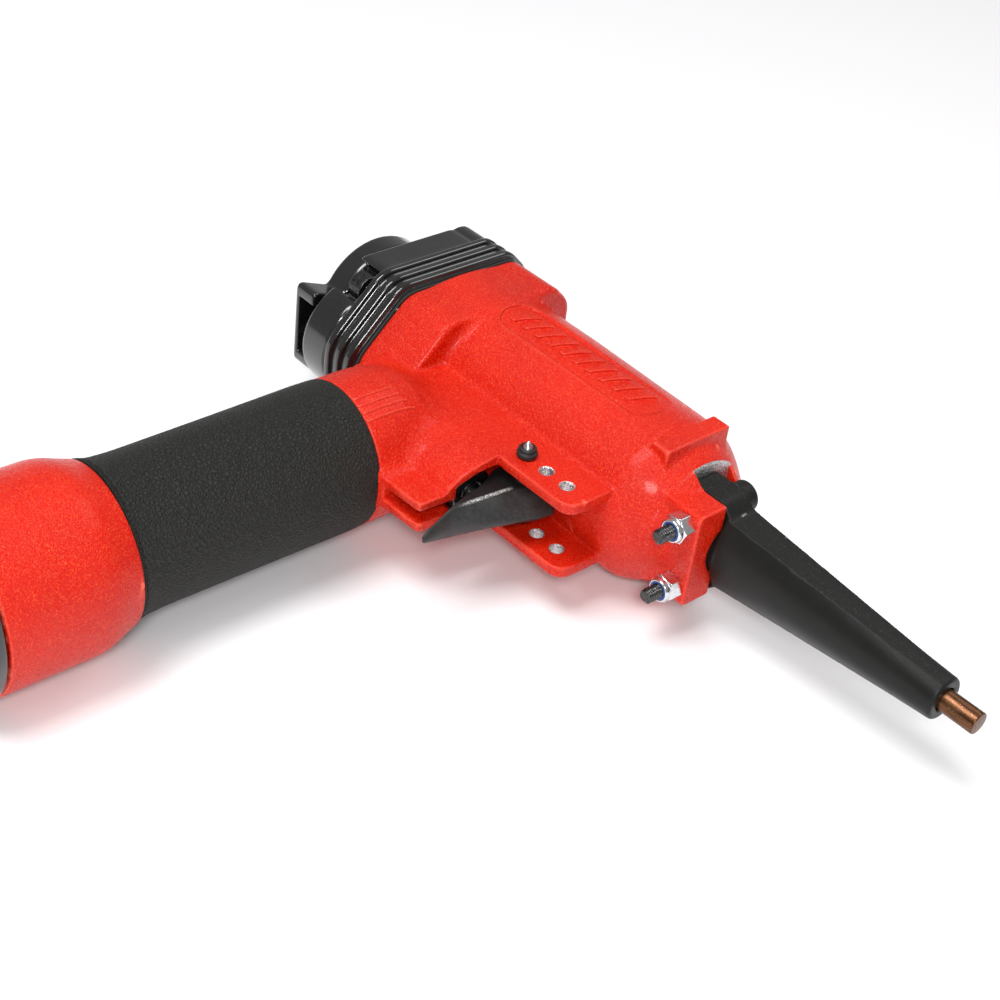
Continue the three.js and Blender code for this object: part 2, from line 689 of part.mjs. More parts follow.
function driverPunch() {
  const [shoulder, face] = [8.1, PISTON_BOTTOM - 0.1];
  return revolve('x', [
    [shoulder, 0], [shoulder, PUNCH_R + 1.6], [face, PUNCH_R + 1.6], [face, PUNCH_R],
    [PUNCH_TIP - 0.4, PUNCH_R], [PUNCH_TIP, PUNCH_R - 0.4], [PUNCH_TIP, 0],
  ], { sides: 24 });
}

// ---------------------------------------------------------------------------------------------
// Trigger and trigger valve
// ---------------------------------------------------------------------------------------------

// One section of the lever: flat sides from the back to the crease, then a rounded finger face.
function leverSection([y, back, crease, depth, half]) {
  const points = [[back, y, half], [back, y, -half]];
  const steps = 8;
  for (let i = 0; i <= steps; i += 1) {
    const share = (2 * i) / steps - 1;
    points.push([crease + depth * (1 - Math.abs(share) ** FACE_BULGE), y, half * share]);
  }
  return points;
}

function trigger() {
  const half = TRIGGER_HALF;
  const inner = half - TRIGGER_SHEET;
  const sections = [
    [-27, 62, 67.3, 5, half - 0.6], [-28.4, 59.6, 67.1, 8.7, half], [-34.4, 57.2, 66.5, 8.6, half],
    [-42.6, 61.2, 65.9, 5.9, half], [-49, 62.3, 65.3, 3.9, half], [-55, 63.8, 64.6, 1.4, half - 0.5],
    [-64, 65.4, 66, 0.7, 1.6], [-65, 65.8, 66.3, 0.4, 0.8],
  ];
  const lever = join(...sections.slice(1).map((section, i) => hull(
    [...leverSection(sections[i]), ...leverSection(section)],
  )));
  const channel = box([50, 64.2], [-52, -35.2], [-inner, inner]);
  const pad = box([62, 66], [VALVE_Y - 3, VALVE_Y + 3], [-inner - 0.1, inner + 0.1]);
  const onPin = { at: [PIN_X, PIN_Y, 0], sides: 20 };
  const hub = rod('z', TRIGGER_HUB_R, -EAR_INNER + 0.25, EAR_INNER - 0.25, onPin);
  const bore = rod('z', PIN_R + 0.12, -SLAB_HALF, SLAB_HALF, onPin);
  return cut(join(cut(lever, channel), pad, hub), bore);
}

function triggerPin() {
  const end = 15;
  const profile = [
    [-end - 1.3, 0], [-end, 1.1], [-end + 0.6, 1.5], [-SLAB_HALF - 0.4, PIN_R],
    [SLAB_HALF + 0.4, PIN_R], [end - 0.6, 1.5], [end, 1.1], [end + 1.3, 0],
  ];
  return revolve('z', profile, { at: [PIN_X, PIN_Y, 0], sides: SMALL });
}

function pinRing(side) {
  const face = SLAB_HALF + 0.05;
  const profile = [
    [face, PIN_R + 0.1], [face, 2.45], [face + 0.4, 2.75], [face + 1.6, 2.75], [face + 2, 2.35],
    [face + 2.7, 2.25], [face + 2.9, 2], [face + 2.9, PIN_R - 0.05], [face, PIN_R + 0.1],
  ].map(([along, radius]) => [side * along, radius]);
  return revolve('z', profile, { at: [PIN_X, PIN_Y, 0], sides: 14 });
}

function valveBody() {
  const at = [0, VALVE_Y, 0];
  const outer = revolve('x', [
    [VALVE_BACK, 0], [VALVE_BACK, VALVE_BODY_R],
    [42, VALVE_BODY_R], [42, 4.9], [44, 4.9], [44, VALVE_BODY_R],
    [49, VALVE_BODY_R], [49, 4.9], [51, 4.9], [51, VALVE_BODY_R], [POCKET_BACK + 0.1, VALVE_BODY_R],
    [POCKET_BACK + 0.1, VALVE_FLANGE_R], [VALVE_FACE - 0.9, VALVE_FLANGE_R],
    [VALVE_FACE, VALVE_FLANGE_R - 0.9], [VALVE_FACE, 0],
  ], { at, sides: 20 });
  const bore = join(
    rod('x', STEM_R + 0.15, VALVE_BACK + 6, VALVE_FACE + 1, { at, sides: SMALL }),
    rod('x', 4.2, VALVE_BACK + 1.2, 52, { at, sides: SMALL }),
    rod('x', 1.2, VALVE_BACK - 1, VALVE_BACK + 2, { at, sides: 12 }),
  );
  return cut(outer, bore);
}

// The stem's collar stays inside the valve, and its round tip stands out towards the trigger.
function valveStem() {
  const tip = 61.6;
  return revolve('x', [
    [42, 0], [42, 1.4], [46.2, 1.4], [46.2, 3.9], [49, 3.9], [49, STEM_R], [tip - 2, STEM_R],
    [tip - 1, 1.8], [tip - 0.3, 1], [tip, 0],
  ], { at: [0, VALVE_Y, 0], sides: SMALL });
}

// ---------------------------------------------------------------------------------------------
// Nose
// ---------------------------------------------------------------------------------------------

function noseBaseSection(x) {
  const points = [];
  const steps = 8;
  for (let i = 0; i <= steps; i += 1) {
    const z = NOSE_HALF * ((2 * i) / steps - 1);
    const part = z / NOSE_HALF;
    points.push([x, -NOSE_BARREL_R + 3.3 * part * part, z]);
    points.push([x, 6.4 - 2 * part * part, z]);
  }
  return points;
}

function noseTipSection(x, radius) {
  const points = [];
  const sides = 20;
  for (let i = 0; i < sides; i += 1) {
    const angle = (2 * Math.PI * i) / sides;
    points.push([x, radius * Math.cos(angle), radius * Math.sin(angle)]);
  }
  return points;
}

function nosePiece() {
  const start = FLANGE_FACE + 0.4;
  const edge = 108.6;
  const plate = prism('y', outline([
    [PLATE_HALF, NOSE_SEAT + 0.1, 0], [PLATE_HALF, edge, 1.5],
    [NOSE_HALF, start + 2, 2], [-NOSE_HALF, start + 2, 2],
    [-PLATE_HALF, edge, 1.5], [-PLATE_HALF, NOSE_SEAT + 0.1, 0],
  ]), PLATE_NEAR, PLATE_FAR);
  const taper = hull([
    ...noseBaseSection(start),
    ...noseTipSection(NOSE_END - 1, NOSE_END_R),
    ...noseTipSection(NOSE_END, NOSE_END_R - 0.8),
  ]);
  const collar = rod('x', NOSE_BARREL_R, NOSE_SEAT + 0.1, start + 1);
  const spigot = rod('x', 5.4, SEAT_END + 1, NOSE_SEAT + 1);
  const bosses = [1, -1].map((side) => rod(
    'y', BOLT_BOSS_R, PLATE_NEAR, BOLT_BOSS_TOP, { at: [BOLT_X, 0, side * BOLT_Z] },
  ));
  const spotFaces = [1, -1].map((side) => rod(
    'y', BOLT_HEAD_R + GAP, PLATE_FAR, 12, { at: [BOLT_X, 0, side * BOLT_Z], sides: 28 },
  ));
  const boltHoles = [1, -1].map((side) => rod(
    'y', 2.2, -12, 12, { at: [BOLT_X, 0, side * BOLT_Z], sides: SMALL },
  ));
  const bore = rod('x', PUNCH_R + 0.3, 80, NOSE_END + 1, { sides: 24 });
  return cut(join(plate, taper, collar, spigot, ...bosses), ...spotFaces, ...boltHoles, bore);
}

// Threaded stretch of a nose bolt: the crests and roots of an M4 coarse thread.
function noseBolt(side) {
  const [pitch, rootR, headR] = [0.7, 1.6, BOLT_HEAD_R];
  const tip = -24.2;
  const thread = [[tip, 0], [tip, 1.5]];
  for (let y = tip + 0.5; y < -20.3; y += pitch) {
    thread.push([y, BOLT_R], [y + pitch / 2, rootR]);
  }
  thread.push(
    [-19.9, rootR], [-19.9, BOLT_R], [PLATE_FAR, BOLT_R], [PLATE_FAR, headR],
    [PLATE_FAR + 3.6, headR], [PLATE_FAR + 4, headR - 0.4], [PLATE_FAR + 4, 0],
  );
  const at = [BOLT_X, 0, side * BOLT_Z];
  const socket = prism('y', hexagon(3, [at[2], at[0]]), PLATE_FAR + 1.8, PLATE_FAR + 5);
  return cut(revolve('y', thread, { at, sides: SMALL }), socket);
}

function lockNut(side) {
  const at = [BOLT_X, 0, side * BOLT_Z];
  const outer = FLANGE_NEAR - NUT_HEIGHT;
  const flats = prism('y', hexagon(NUT_FLATS, [at[2], at[0]]), FLANGE_NEAR - 3.6, FLANGE_NEAR);
  const collar = revolve('y', [
    [outer, 0], [outer, 2.7], [outer + 0.5, 3.2], [FLANGE_NEAR - 3.4, 3.4], [FLANGE_NEAR - 3.4, 0],
  ], { at, sides: SMALL });
  const chamfer = revolve('y', [
    [FLANGE_NEAR - 4, 0], [FLANGE_NEAR - 4, 3.3], [FLANGE_NEAR - 3, 4.1], [FLANGE_NEAR - 0.6, 4.1],
    [FLANGE_NEAR, 3.6], [FLANGE_NEAR, 0],
  ], { at, sides: SMALL });
  const bore = rod('y', 2, outer - 1, FLANGE_NEAR + 1, { at, sides: SMALL });
  const insertSeat = rod('y', 2.6, outer - 1, outer + 1.5, { at, sides: SMALL });
  return cut(join(flats.intersect(chamfer), collar), bore, insertSeat);
}

function nutInsert(side) {
  const at = [BOLT_X, 0, side * BOLT_Z];
  const outer = FLANGE_NEAR - NUT_HEIGHT;
  return ring('y', 2, 2.6, outer + 0.1, outer + 1.5, { at, sides: SMALL });
}

// ---------------------------------------------------------------------------------------------
// The assembly
// ---------------------------------------------------------------------------------------------

const HANDLE_AXIS = { at: [HANDLE_X, 0, 0] };
const VALVE_AXIS = { at: [0, VALVE_Y, 0], sides: 16 };

place('body_housing', RED_PAINT, housing());
place('grip_sleeve', BLACK_RUBBER, gripSleeve());
place('handle_end_cap', GLOSS_BLACK, handleEndCap());
place('end_cap_o_ring', SEAL_RUBBER, oRing('y', 12.7, 0.75, -160.1, HANDLE_AXIS));
place('air_inlet', BRASS, airInlet());
place('inlet_filter', STEEL, inletFilter());
endScrewPlaces().forEach(([x, z], i) => {
  place(`end_cap_screw_${i + 1}`, BLACK_STEEL, capScrew('y', {
    top: END_CAP_END + 0.1, direction: 1, head: [3.5, 4], shank: 1.95, length: 15, socket: 3, at: [x, 0, z],
  }));
});

place('head_gasket', GASKET_PAPER, gasket());
place('head_cap', GLOSS_BLACK, headCap());
CAP_SCREWS.forEach(([y, z], i) => {
  place(`cap_screw_${i + 1}`, BLACK_STEEL, capScrew('x', {
    top: POCKET_FLOOR - 5, direction: 1, head: [4.25, 5], shank: 2.4, length: 26, socket: 4, at: [0, y, z],
  }));
});
place('exhaust_deflector', GLOSS_BLACK, deflector());
place('deflector_screw', BLACK_STEEL, capScrew('x', {
  top: DEFLECTOR_TOP - 0.6, direction: 1, head: [4.6, 2.3], shank: 2, length: 9.4, socket: 3,
  at: [0, DEFLECTOR_Y, 0],
}));

place('head_valve', ALUMINIUM, headValve());
place('head_valve_seal', SEAL_RUBBER, ring('x', 7, 18, -5, -3.2));
place('head_valve_o_ring', SEAL_RUBBER, oRing('x', 17.8, 0.55, -6.8));
place('head_valve_spring', STEEL, spring(10.5, 0.8, -20.3, -8.2, 3));
place('cylinder_sleeve', ALUMINIUM, cylinderSleeve());
place('sleeve_o_ring', SEAL_RUBBER, oRing('x', 19.4, 0.65, 73.5));
place('bumper', SEAL_RUBBER, ring('x', PUNCH_R + 0.9, SLEEVE_IN - GAP, BUMPER_TOP, SEAT_END - GAP));
place('piston', ALUMINIUM, piston());
place('piston_o_ring', SEAL_RUBBER, oRing('x', 13.85, 0.9, 3.8));
place('driver_punch', COPPER_STEEL, driverPunch());

place('trigger', BLACK_STEEL, trigger());
place('trigger_pin', STEEL, triggerPin());
place('trigger_pin_ring_upper', BLACK_RUBBER, pinRing(1));
place('trigger_pin_ring_lower', BLACK_RUBBER, pinRing(-1));
place('trigger_valve_body', GLOSS_BLACK, valveBody());
place('trigger_valve_o_ring_1', SEAL_RUBBER, oRing('x', 5.5, 0.6, 43, VALVE_AXIS));
place('trigger_valve_o_ring_2', SEAL_RUBBER, oRing('x', 5.5, 0.6, 50, VALVE_AXIS));
place('trigger_valve_stem', STEEL, valveStem());
place('trigger_valve_spring', STEEL, spring(2.6, 0.35, 38.4, 46, 4, VALVE_Y, 0));

place('nose_piece', BLACK_CASTING, nosePiece());
[['upper', 1], ['lower', -1]].forEach(([name, side]) => {
  place(`nose_bolt_${name}`, BLACK_STEEL, noseBolt(side));
  place(`nose_nut_${name}`, ZINC, lockNut(side));
  place(`nose_nut_insert_${name}`, BLUE_NYLON, nutInsert(side));
});

const extent = new THREE.Box3().setFromObject(tool);
const middle = extent.getCenter(new THREE.Vector3());
tool.position.set(-middle.x, -middle.y, REST_HALF_HEIGHT);

export default tool;
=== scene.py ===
"""Looks of an air-powered punch nailer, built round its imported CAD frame.

Lengths are millimetres in the tool's own axes until a mesh is made: x runs along the drive axis towards
the punch, -y runs down the handle, z is up, and x = 0 is the joint between casting and head cap.
Cast and moulded pieces are signed distance fields, so that their edges and joints can be rounded as a
casting's are. Each field is then turned into a mesh that takes its normals from the field.
"""

import math

import bpy
import numpy as np
import openvdb
from mathutils import Matrix, Vector


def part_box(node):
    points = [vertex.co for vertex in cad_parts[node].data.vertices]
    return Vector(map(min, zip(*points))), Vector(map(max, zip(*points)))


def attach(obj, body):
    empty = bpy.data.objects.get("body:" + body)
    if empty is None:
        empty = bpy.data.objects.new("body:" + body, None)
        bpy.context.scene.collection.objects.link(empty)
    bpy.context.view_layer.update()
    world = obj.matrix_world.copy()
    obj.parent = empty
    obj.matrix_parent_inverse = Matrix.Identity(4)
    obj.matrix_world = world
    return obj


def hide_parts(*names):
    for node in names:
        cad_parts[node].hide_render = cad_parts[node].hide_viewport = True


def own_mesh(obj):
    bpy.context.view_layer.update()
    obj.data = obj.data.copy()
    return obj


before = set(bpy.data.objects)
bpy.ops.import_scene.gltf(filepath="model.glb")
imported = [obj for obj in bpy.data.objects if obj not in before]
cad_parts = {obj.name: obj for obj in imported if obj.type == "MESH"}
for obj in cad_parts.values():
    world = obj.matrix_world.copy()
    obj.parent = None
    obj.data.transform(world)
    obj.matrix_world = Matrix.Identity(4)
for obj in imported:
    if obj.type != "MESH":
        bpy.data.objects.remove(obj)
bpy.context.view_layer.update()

MM = 0.001
FAR = 1e3

# ---- Places taken from the frame ----

punch_low, punch_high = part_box("driver_punch")
ORIGIN = Vector((
    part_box("body_housing")[0].x,
    (punch_low.y + punch_high.y) / 2,
    (punch_low.z + punch_high.z) / 2,
))


def span(node):
    """Lowest and highest corner of a CAD node, in the tool's axes."""
    low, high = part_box(node)
    return np.array((low - ORIGIN) / MM), np.array((high - ORIGIN) / MM)


def middle(node):
    low, high = span(node)
    return (low + high) / 2


HANDLE_X = middle("air_inlet")[0]
PIN_X, PIN_Y = middle("trigger_pin")[:2]
VALVE_Y = middle("trigger_valve_body")[1]
VALVE_BACK = span("trigger_valve_body")[0][0]
VALVE_FACE = span("trigger_valve_body")[1][0]
BOLT_X, _, BOLT_Z = middle("nose_bolt_upper")
DEFLECTOR_Y = middle("deflector_screw")[1]
DEFLECTOR_TOP = span("exhaust_deflector")[0][0]
DEFLECTOR_RIM = span("exhaust_deflector")[1][0]
REST_HALF = span("head_cap")[1][2]
GRIP_END, GRIP_TOP = span("grip_sleeve")[0][1], span("grip_sleeve")[1][1]
FLARE_END = span("body_housing")[0][1]
END_CAP_END = span("handle_end_cap")[0][1]
PUNCH_TIP = span("driver_punch")[1][0]
NOSE_END = span("nose_piece")[1][0]
PLATE_HALF = span("nose_piece")[1][2]
CAP_SCREWS = [tuple(middle(f"cap_screw_{i}")[1:]) for i in (1, 2, 3, 4)]
END_SCREWS = [tuple(middle(f"end_cap_screw_{i}")[::2]) for i in (1, 2, 3)]

# Sizes that the box of a node doesn't give
BARREL_R = 24.0
HEAD_HALF = 23.2
HEAD_LENGTH = 19.0
DOME_START, DOME_END = 86.0, 104.5
DOME_START_R, DOME_END_R = 23.6, 12.0
DOME_DROP = 1.0
HANDLE_SQUEEZE = 0.945
SLAB_HALF = 11.6
SLAB_BACK, SLAB_FRONT = 7.0, 60.5
EAR_INNER = 8.4
EAR_EDGE, EAR_END = -36.8, 87.3
EAR_HOLE_PITCH, EAR_HOLE_R = 7.6, 1.75
POCKET_END = -49.2
HORN_TOP = -52.6
HORN_HALF = 4.5
NOSE_SEAT = 98.0
FLANGE_FACE = 110.3
FLANGE_NEAR = -14.5
PLATE_NEAR, PLATE_FAR = -4.5, 4.3
BOLT_BOSS_TOP = 8.4
BOLT_HEAD_R = 3.1
GASKET = 0.8
CAP_END = -23.5
POCKET_FLOOR = -13.8
FRONT_POCKET_R, REAR_POCKET_R = 4.9, 5.8
CAP_RIBS, CAP_RIB_PITCH, CAP_RIB_HALF = 3, 4.2, 1.2
CAP_PORTS, CAP_PORT_RING_R = 6, 11
CAP_BOSS_R = 6.2
CAP_SCREW_R, CAP_HOLE_R = 2.4, 2.6
END_SCREW_R, END_SCREW_HOLE_R = 1.95, 2.1
BOLT_R, BOLT_HOLE_R, INSERT_R = 2.0, 2.2, 2.6
END_SCREW_SEAT = END_CAP_END + 4.1
PIN_HOLE_R = 2.0
CHAMBER_R = 20.3
ROOT_R, CORE_R = 20.4, 17.6
PANEL_START, PANEL_END, PANEL_HALF = 21, 80, 6.6
PANEL_DEPTH = 0.8
NOSE_HALF = 10.6
NOSE_START = FLANGE_FACE + 0.4
NOSE_TIP_R = 5.8
LEVER_BULGE = 1.7

ON_AXIS = (0, 0, 0)
IN_HANDLE = (HANDLE_X, 0, 0)
IN_VALVE = (0, VALVE_Y, 0)
IN_DEFLECTOR = (0, DEFLECTOR_Y, 0)
ON_PIN = (PIN_X, PIN_Y, 0)
SIDES = ((1, "upper"), (-1, "lower"))


# ---- Signed distance fields ----

def outline_distance(points, a, b):
    """Signed distance of (a, b) from a closed outline, negative inside."""
    nearest = np.full(np.broadcast_shapes(a.shape, b.shape), np.inf, np.float32)
    inside = np.zeros(nearest.shape, bool)
    for (a0, b0), (a1, b1) in zip(points, points[1:] + points[:1]):
        along_a, along_b = a1 - a0, b1 - b0
        length = along_a * along_a + along_b * along_b
        if length > 0:
            share = np.clip(((a - a0) * along_a + (b - b0) * along_b) / length, 0, 1)
            gap = (a - a0 - share * along_a) ** 2 + (b - b0 - share * along_b) ** 2
            nearest = np.minimum(nearest, gap)
        if b0 != b1:
            inside ^= ((b0 > b) != (b1 > b)) & (a < a0 + along_a * (b - b0) / along_b)
    return np.where(inside, -1, 1).astype(np.float32) * np.sqrt(nearest)


def rounded(corners, reach=0.0, steps=6):
    """An outline whose corners (a, b, own reach) are rounded, each by its own reach if it has one."""
    points = []
    for i, corner in enumerate(corners):
        here = np.array(corner[:2], float)
        before = np.array(corners[i - 1][:2], float) - here
        after = np.array(corners[(i + 1) % len(corners)][:2], float) - here
        own = corner[2] if len(corner) > 2 else reach
        if own == 0:
            points.append(tuple(here))
            continue
        start = here + before / np.linalg.norm(before) * own
        end = here + after / np.linalg.norm(after) * own
        for t in np.linspace(0, 1, steps + 1):
            points.append(tuple((1 - t) ** 2 * start + 2 * t * (1 - t) * here + t * t * end))
    return points


def mirrored(half):
    """A whole outline from its half where b > 0."""
    return half + [(a, -b, *own) for a, b, *own in reversed(half)]


def groove(low, high, radius, floor):
    """The corners of a ring groove in a profile of (along, radius)."""
    return [(low, radius), (low, floor), (high, floor), (high, radius)]


def both(a, b):
    """The space inside both fields, with a true distance outside their shared edge."""
    return np.hypot(np.maximum(a, 0), np.maximum(b, 0)) + np.minimum(np.maximum(a, b), 0)


def joined(a, b, blend=0.0):
    """Both shapes together, with a fillet where they meet."""
    if blend <= 0:
        return np.minimum(a, b)
    near = np.maximum(blend - np.abs(a - b), 0) / blend
    return np.minimum(a, b) - near * near * blend / 4


def shared(a, b, blend=0.0):
    """The space that lies in both shapes, with its edge rounded."""
    return -joined(-a, -b, blend)


def pick(axis, at, x, y, z):
    """The two coordinates across an axis through a point, in right-handed order, and the one along it."""
    a, b, along = {"x": (1, 2, 0), "y": (2, 0, 1), "z": (0, 1, 2)}[axis]
    place = (x, y, z)
    return place[a] - at[a], place[b] - at[b], place[along]


def between(sides, along, low, high, edge=0.0):
    """A section pushed from low to high, with rims rounded by edge."""
    ends = np.maximum(low - along, along - high)
    return both(sides + edge, ends + edge) - edge


def pushed(axis, section, low, high, at=ON_AXIS, edge=0.0):
    """A shape whose section (a, b, along) is pushed along an axis from low to high."""
    def field(x, y, z):
        a, b, along = pick(axis, at, x, y, z)
        return between(section(a, b, along), along, low, high, edge)
    return field


def prism(axis, points, low, high, edge=0.0, at=ON_AXIS):
    return pushed(axis, lambda a, b, _: outline_distance(points, a, b), low, high, at, edge)


def box(low, high, edge=0.0):
    corners = [(low[0], low[1]), (high[0], low[1]), (high[0], high[1]), (low[0], high[1])]
    return prism("z", corners, low[2], high[2], edge)


def rod(axis, radius, low, high, at=ON_AXIS, edge=0.0):
    return pushed(axis, lambda a, b, _: np.hypot(a, b) - radius, low, high, at, edge)


def hex_rod(axis, across, low, high, at=ON_AXIS, edge=0.0):
    def section(a, b, _):
        slanting = np.abs(a) * math.cos(math.pi / 6) + np.abs(b) / 2
        return np.maximum(slanting, np.abs(b)) - across / 2
    return pushed(axis, section, low, high, at, edge)


def threaded_rod(axis, radius, pitch, low, high, at=ON_AXIS, edge=0.3):
    """A rod with a helical thread whose crests lie on the radius."""
    depth, steepness, crest, slope = 0.54 * pitch, 1.25, 0.1, 0.7

    def section(a, b, along):
        phase = (along / pitch - np.arctan2(b, a) / (2 * math.pi)) % 1
        cut = depth * np.clip(steepness * np.abs(2 * phase - 1) - crest, 0, 1)
        return (np.hypot(a, b) - radius + cut) * slope
    return pushed(axis, section, low, high, at, edge)


def turned(axis, profile, at=ON_AXIS, squeeze=1.0):
    """A profile of (along, radius) points, from axis to axis, turned round an axis."""
    whole = mirrored(list(profile))
    step = 0.1

    def field(x, y, z):
        a, b, along = pick(axis, at, (x - at[0]) / squeeze + at[0], y, z)
        radius = np.hypot(a, b)
        radii = np.arange(0, float(radius.max()) + 2 * step, step, dtype=np.float32)
        table = outline_distance(whole, along.reshape(-1, 1), radii.reshape(1, -1))
        low = np.minimum((radius / step).astype(np.int32), len(radii) - 2)
        share = (radius / step - low).reshape(-1)
        values = table[:, low.reshape(-1)] * (1 - share) + table[:, low.reshape(-1) + 1] * share
        order = "xyz".index(axis)
        across = [n for i, n in enumerate(radius.shape) if i != order]
        return np.moveaxis(values.reshape(len(table), *across), 0, order)
    return field


class Clay:
    """A block of sample points that shapes are added to and cut from."""

    def __init__(self, low, high, step):
        self.step = step
        self.low = np.array(low, float) - 4 * step
        counts = np.ceil((np.array(high, float) + 4 * step - self.low) / step).astype(int)
        self.axes = [(self.low[i] + step * np.arange(counts[i])).astype(np.float32) for i in range(3)]
        self.field = np.full(counts, FAR, np.float32)

    def window(self, within, margin):
        """The samples within a box, or all of them, and their coordinates."""
        cut = [slice(None)] * 3
        if within is not None:
            for i, axis in enumerate(self.axes):
                first, last = np.searchsorted(axis, (within[0][i] - margin, within[1][i] + margin))
                cut[i] = slice(int(first), int(last))
        x, y, z = (self.axes[i][cut[i]] for i in range(3))
        return tuple(cut), x[:, None, None], y[None, :, None], z[None, None, :]

    def add(self, shape, blend=0.0, within=None):
        cut, x, y, z = self.window(within, blend + 2 * self.step)
        self.field[cut] = joined(self.field[cut], shape(x, y, z), blend)

    def remove(self, shape, blend=0.0, within=None):
        cut, x, y, z = self.window(within, blend + 2 * self.step)
        self.field[cut] = -joined(-self.field[cut], shape(x, y, z), blend)

    def keep(self, shape, blend=0.0):
        _, x, y, z = self.window(None, 0)
        self.field = shared(self.field, shape(x, y, z), blend)

    def bore(self, axis, radius, low, high, at=ON_AXIS, blend=0.0, edge=0.0):
        """Removes a round hole, working on the samples round it only."""
        first, last = np.array(at, float) - radius, np.array(at, float) + radius
        order = "xyz".index(axis)
        first[order], last[order] = low, high
        self.remove(rod(axis, radius, low, high, at, edge), blend, (first, last))

    def blank(self):
        """An empty block on the same sample points."""
        other = Clay.__new__(Clay)
        other.step, other.low, other.axes = self.step, self.low, self.axes
        other.field = np.full(self.field.shape, FAR, np.float32)
        return other

    def values(self, places):
        """The field between its samples, at places given in steps."""
        low = np.clip(places.astype(int), 0, np.array(self.field.shape) - 2)
        share = places - low
        total = np.zeros(len(places))
        for corner in np.ndindex(2, 2, 2):
            weight = np.prod(np.where(corner, share, 1 - share), axis=1)
            total += weight * self.field[tuple((low + corner).T)]
        return total

    def mesh(self, name, detail=0.0):
        """The surface as a mesh object that is shaded by the slope of the field."""
        reach, probe = 3 * self.step, 0.6
        self.field = np.clip(self.field, -reach, reach).astype(np.float32)
        grid = openvdb.FloatGrid(reach)
        grid.copyFromArray(self.field)
        points, triangles, quads = grid.convertToPolygons(0.0, detail)
        slope = np.stack([
            self.values(points + half) - self.values(points - half) for half in np.eye(3) * probe
        ], axis=1)
        slope /= np.maximum(np.linalg.norm(slope, axis=1, keepdims=True), 1e-9)
        piece = new_piece(name, points * self.step + self.low, triangles, quads)
        piece.data.normals_split_custom_set_from_vertices(slope)
        return piece


# ---- Meshes ----

def in_scene(name, data):
    thing = bpy.data.objects.new(name, data)
    bpy.context.scene.collection.objects.link(thing)
    return thing


def new_piece(name, points, *face_groups):
    """A smooth-shaded mesh object, from points in the tool's axes and arrays of faces."""
    groups = [np.asarray(group, np.int32) for group in face_groups if len(group)]
    sizes = np.concatenate([np.full(len(group), group.shape[1]) for group in groups])
    corners = np.concatenate([group.ravel() for group in groups])
    mesh = bpy.data.meshes.new(name)
    mesh.vertices.add(len(points))
    places = np.asarray(points, float) * MM + np.array(ORIGIN)
    mesh.vertices.foreach_set("co", places.astype(np.float32).ravel())
    mesh.loops.add(len(corners))
    mesh.loops.foreach_set("vertex_index", corners)
    mesh.polygons.add(len(sizes))
    starts = np.concatenate(([0], np.cumsum(sizes)[:-1]))
    mesh.polygons.foreach_set("loop_start", starts.astype(np.int32))
    mesh.polygons.foreach_set("use_smooth", np.ones(len(sizes), bool))
    mesh.update(calc_edges=True)
    return in_scene(name, mesh)


def facing_out(piece):
    """Turns a closed mesh's faces outward, by the sign of its volume."""
    mesh = piece.data
    mesh.calc_loop_triangles()
    corners = np.empty(len(mesh.loop_triangles) * 3, np.int32)
    mesh.loop_triangles.foreach_get("vertices", corners)
    places = np.empty(len(mesh.vertices) * 3, np.float32)
    mesh.vertices.foreach_get("co", places)
    places = places.reshape(-1, 3).astype(float)
    a, b, c = (places - places.mean(axis=0))[corners.reshape(-1, 3)].transpose(1, 0, 2)
    if np.sum(a * np.cross(b, c)) < 0:
        mesh.flip_normals()
    return piece


def skin(name, rings, closed=False):
    """A closed surface over rings of points: its ends are capped, or its last ring meets its first."""
    rings = np.asarray(rings, float)
    count, sides = rings.shape[:2]
    row = np.arange(count if closed else count - 1)[:, None]
    column = np.arange(sides)[None, :]
    below, right = (row + 1) % count, (column + 1) % sides
    quads = np.stack([
        row * sides + column, row * sides + right, below * sides + right, below * sides + column,
    ], axis=-1).reshape(-1, 4)
    points = rings.reshape(-1, 3)
    if closed:
        return facing_out(new_piece(name, points, quads))
    column, right = column[0], right[0]
    ends = np.array([rings[0].mean(axis=0), rings[-1].mean(axis=0)])
    tail = (count - 1) * sides
    caps = np.concatenate([
        np.stack([np.full(sides, len(points)), right, column], axis=-1),
        np.stack([np.full(sides, len(points) + 1), tail + column, tail + right], axis=-1),
    ])
    return facing_out(new_piece(name, np.concatenate([points, ends]), caps, quads))


def lathe(name, axis, profile, at=ON_AXIS, squeeze=1.0, reach=0.3, sides=96):
    """Corners (along, radius, own reach) turned round an axis, from axis to axis or as a closed ring."""
    hollow = min(corner[1] for corner in profile) > 0
    corners = [(*corner[:2], 0) if corner[1] == 0 else corner for corner in profile]
    outline = rounded(corners, reach, 4)
    if not hollow:
        tip_r = 0.02
        outline = [(along, max(radius, tip_r)) for along, radius in outline]
    order = {"x": (2, 0, 1), "y": (1, 2, 0), "z": (0, 1, 2)}[axis]
    turn = np.linspace(0, 2 * math.pi, sides, endpoint=False)
    rings = []
    for along, radius in outline:
        ring = np.stack([radius * np.cos(turn), radius * np.sin(turn), 0 * turn + along], axis=1)
        rings.append(ring[:, list(order)] * (squeeze, 1, 1) + at)
    return skin(name, rings, hollow)


def o_ring(name, axis, radius, section, along, at=ON_AXIS):
    turn = np.linspace(0, 2 * math.pi, 20, endpoint=False)
    profile = [(along + section * math.cos(t), radius + section * math.sin(t), 0) for t in turn]
    return lathe(name, axis, profile, at)


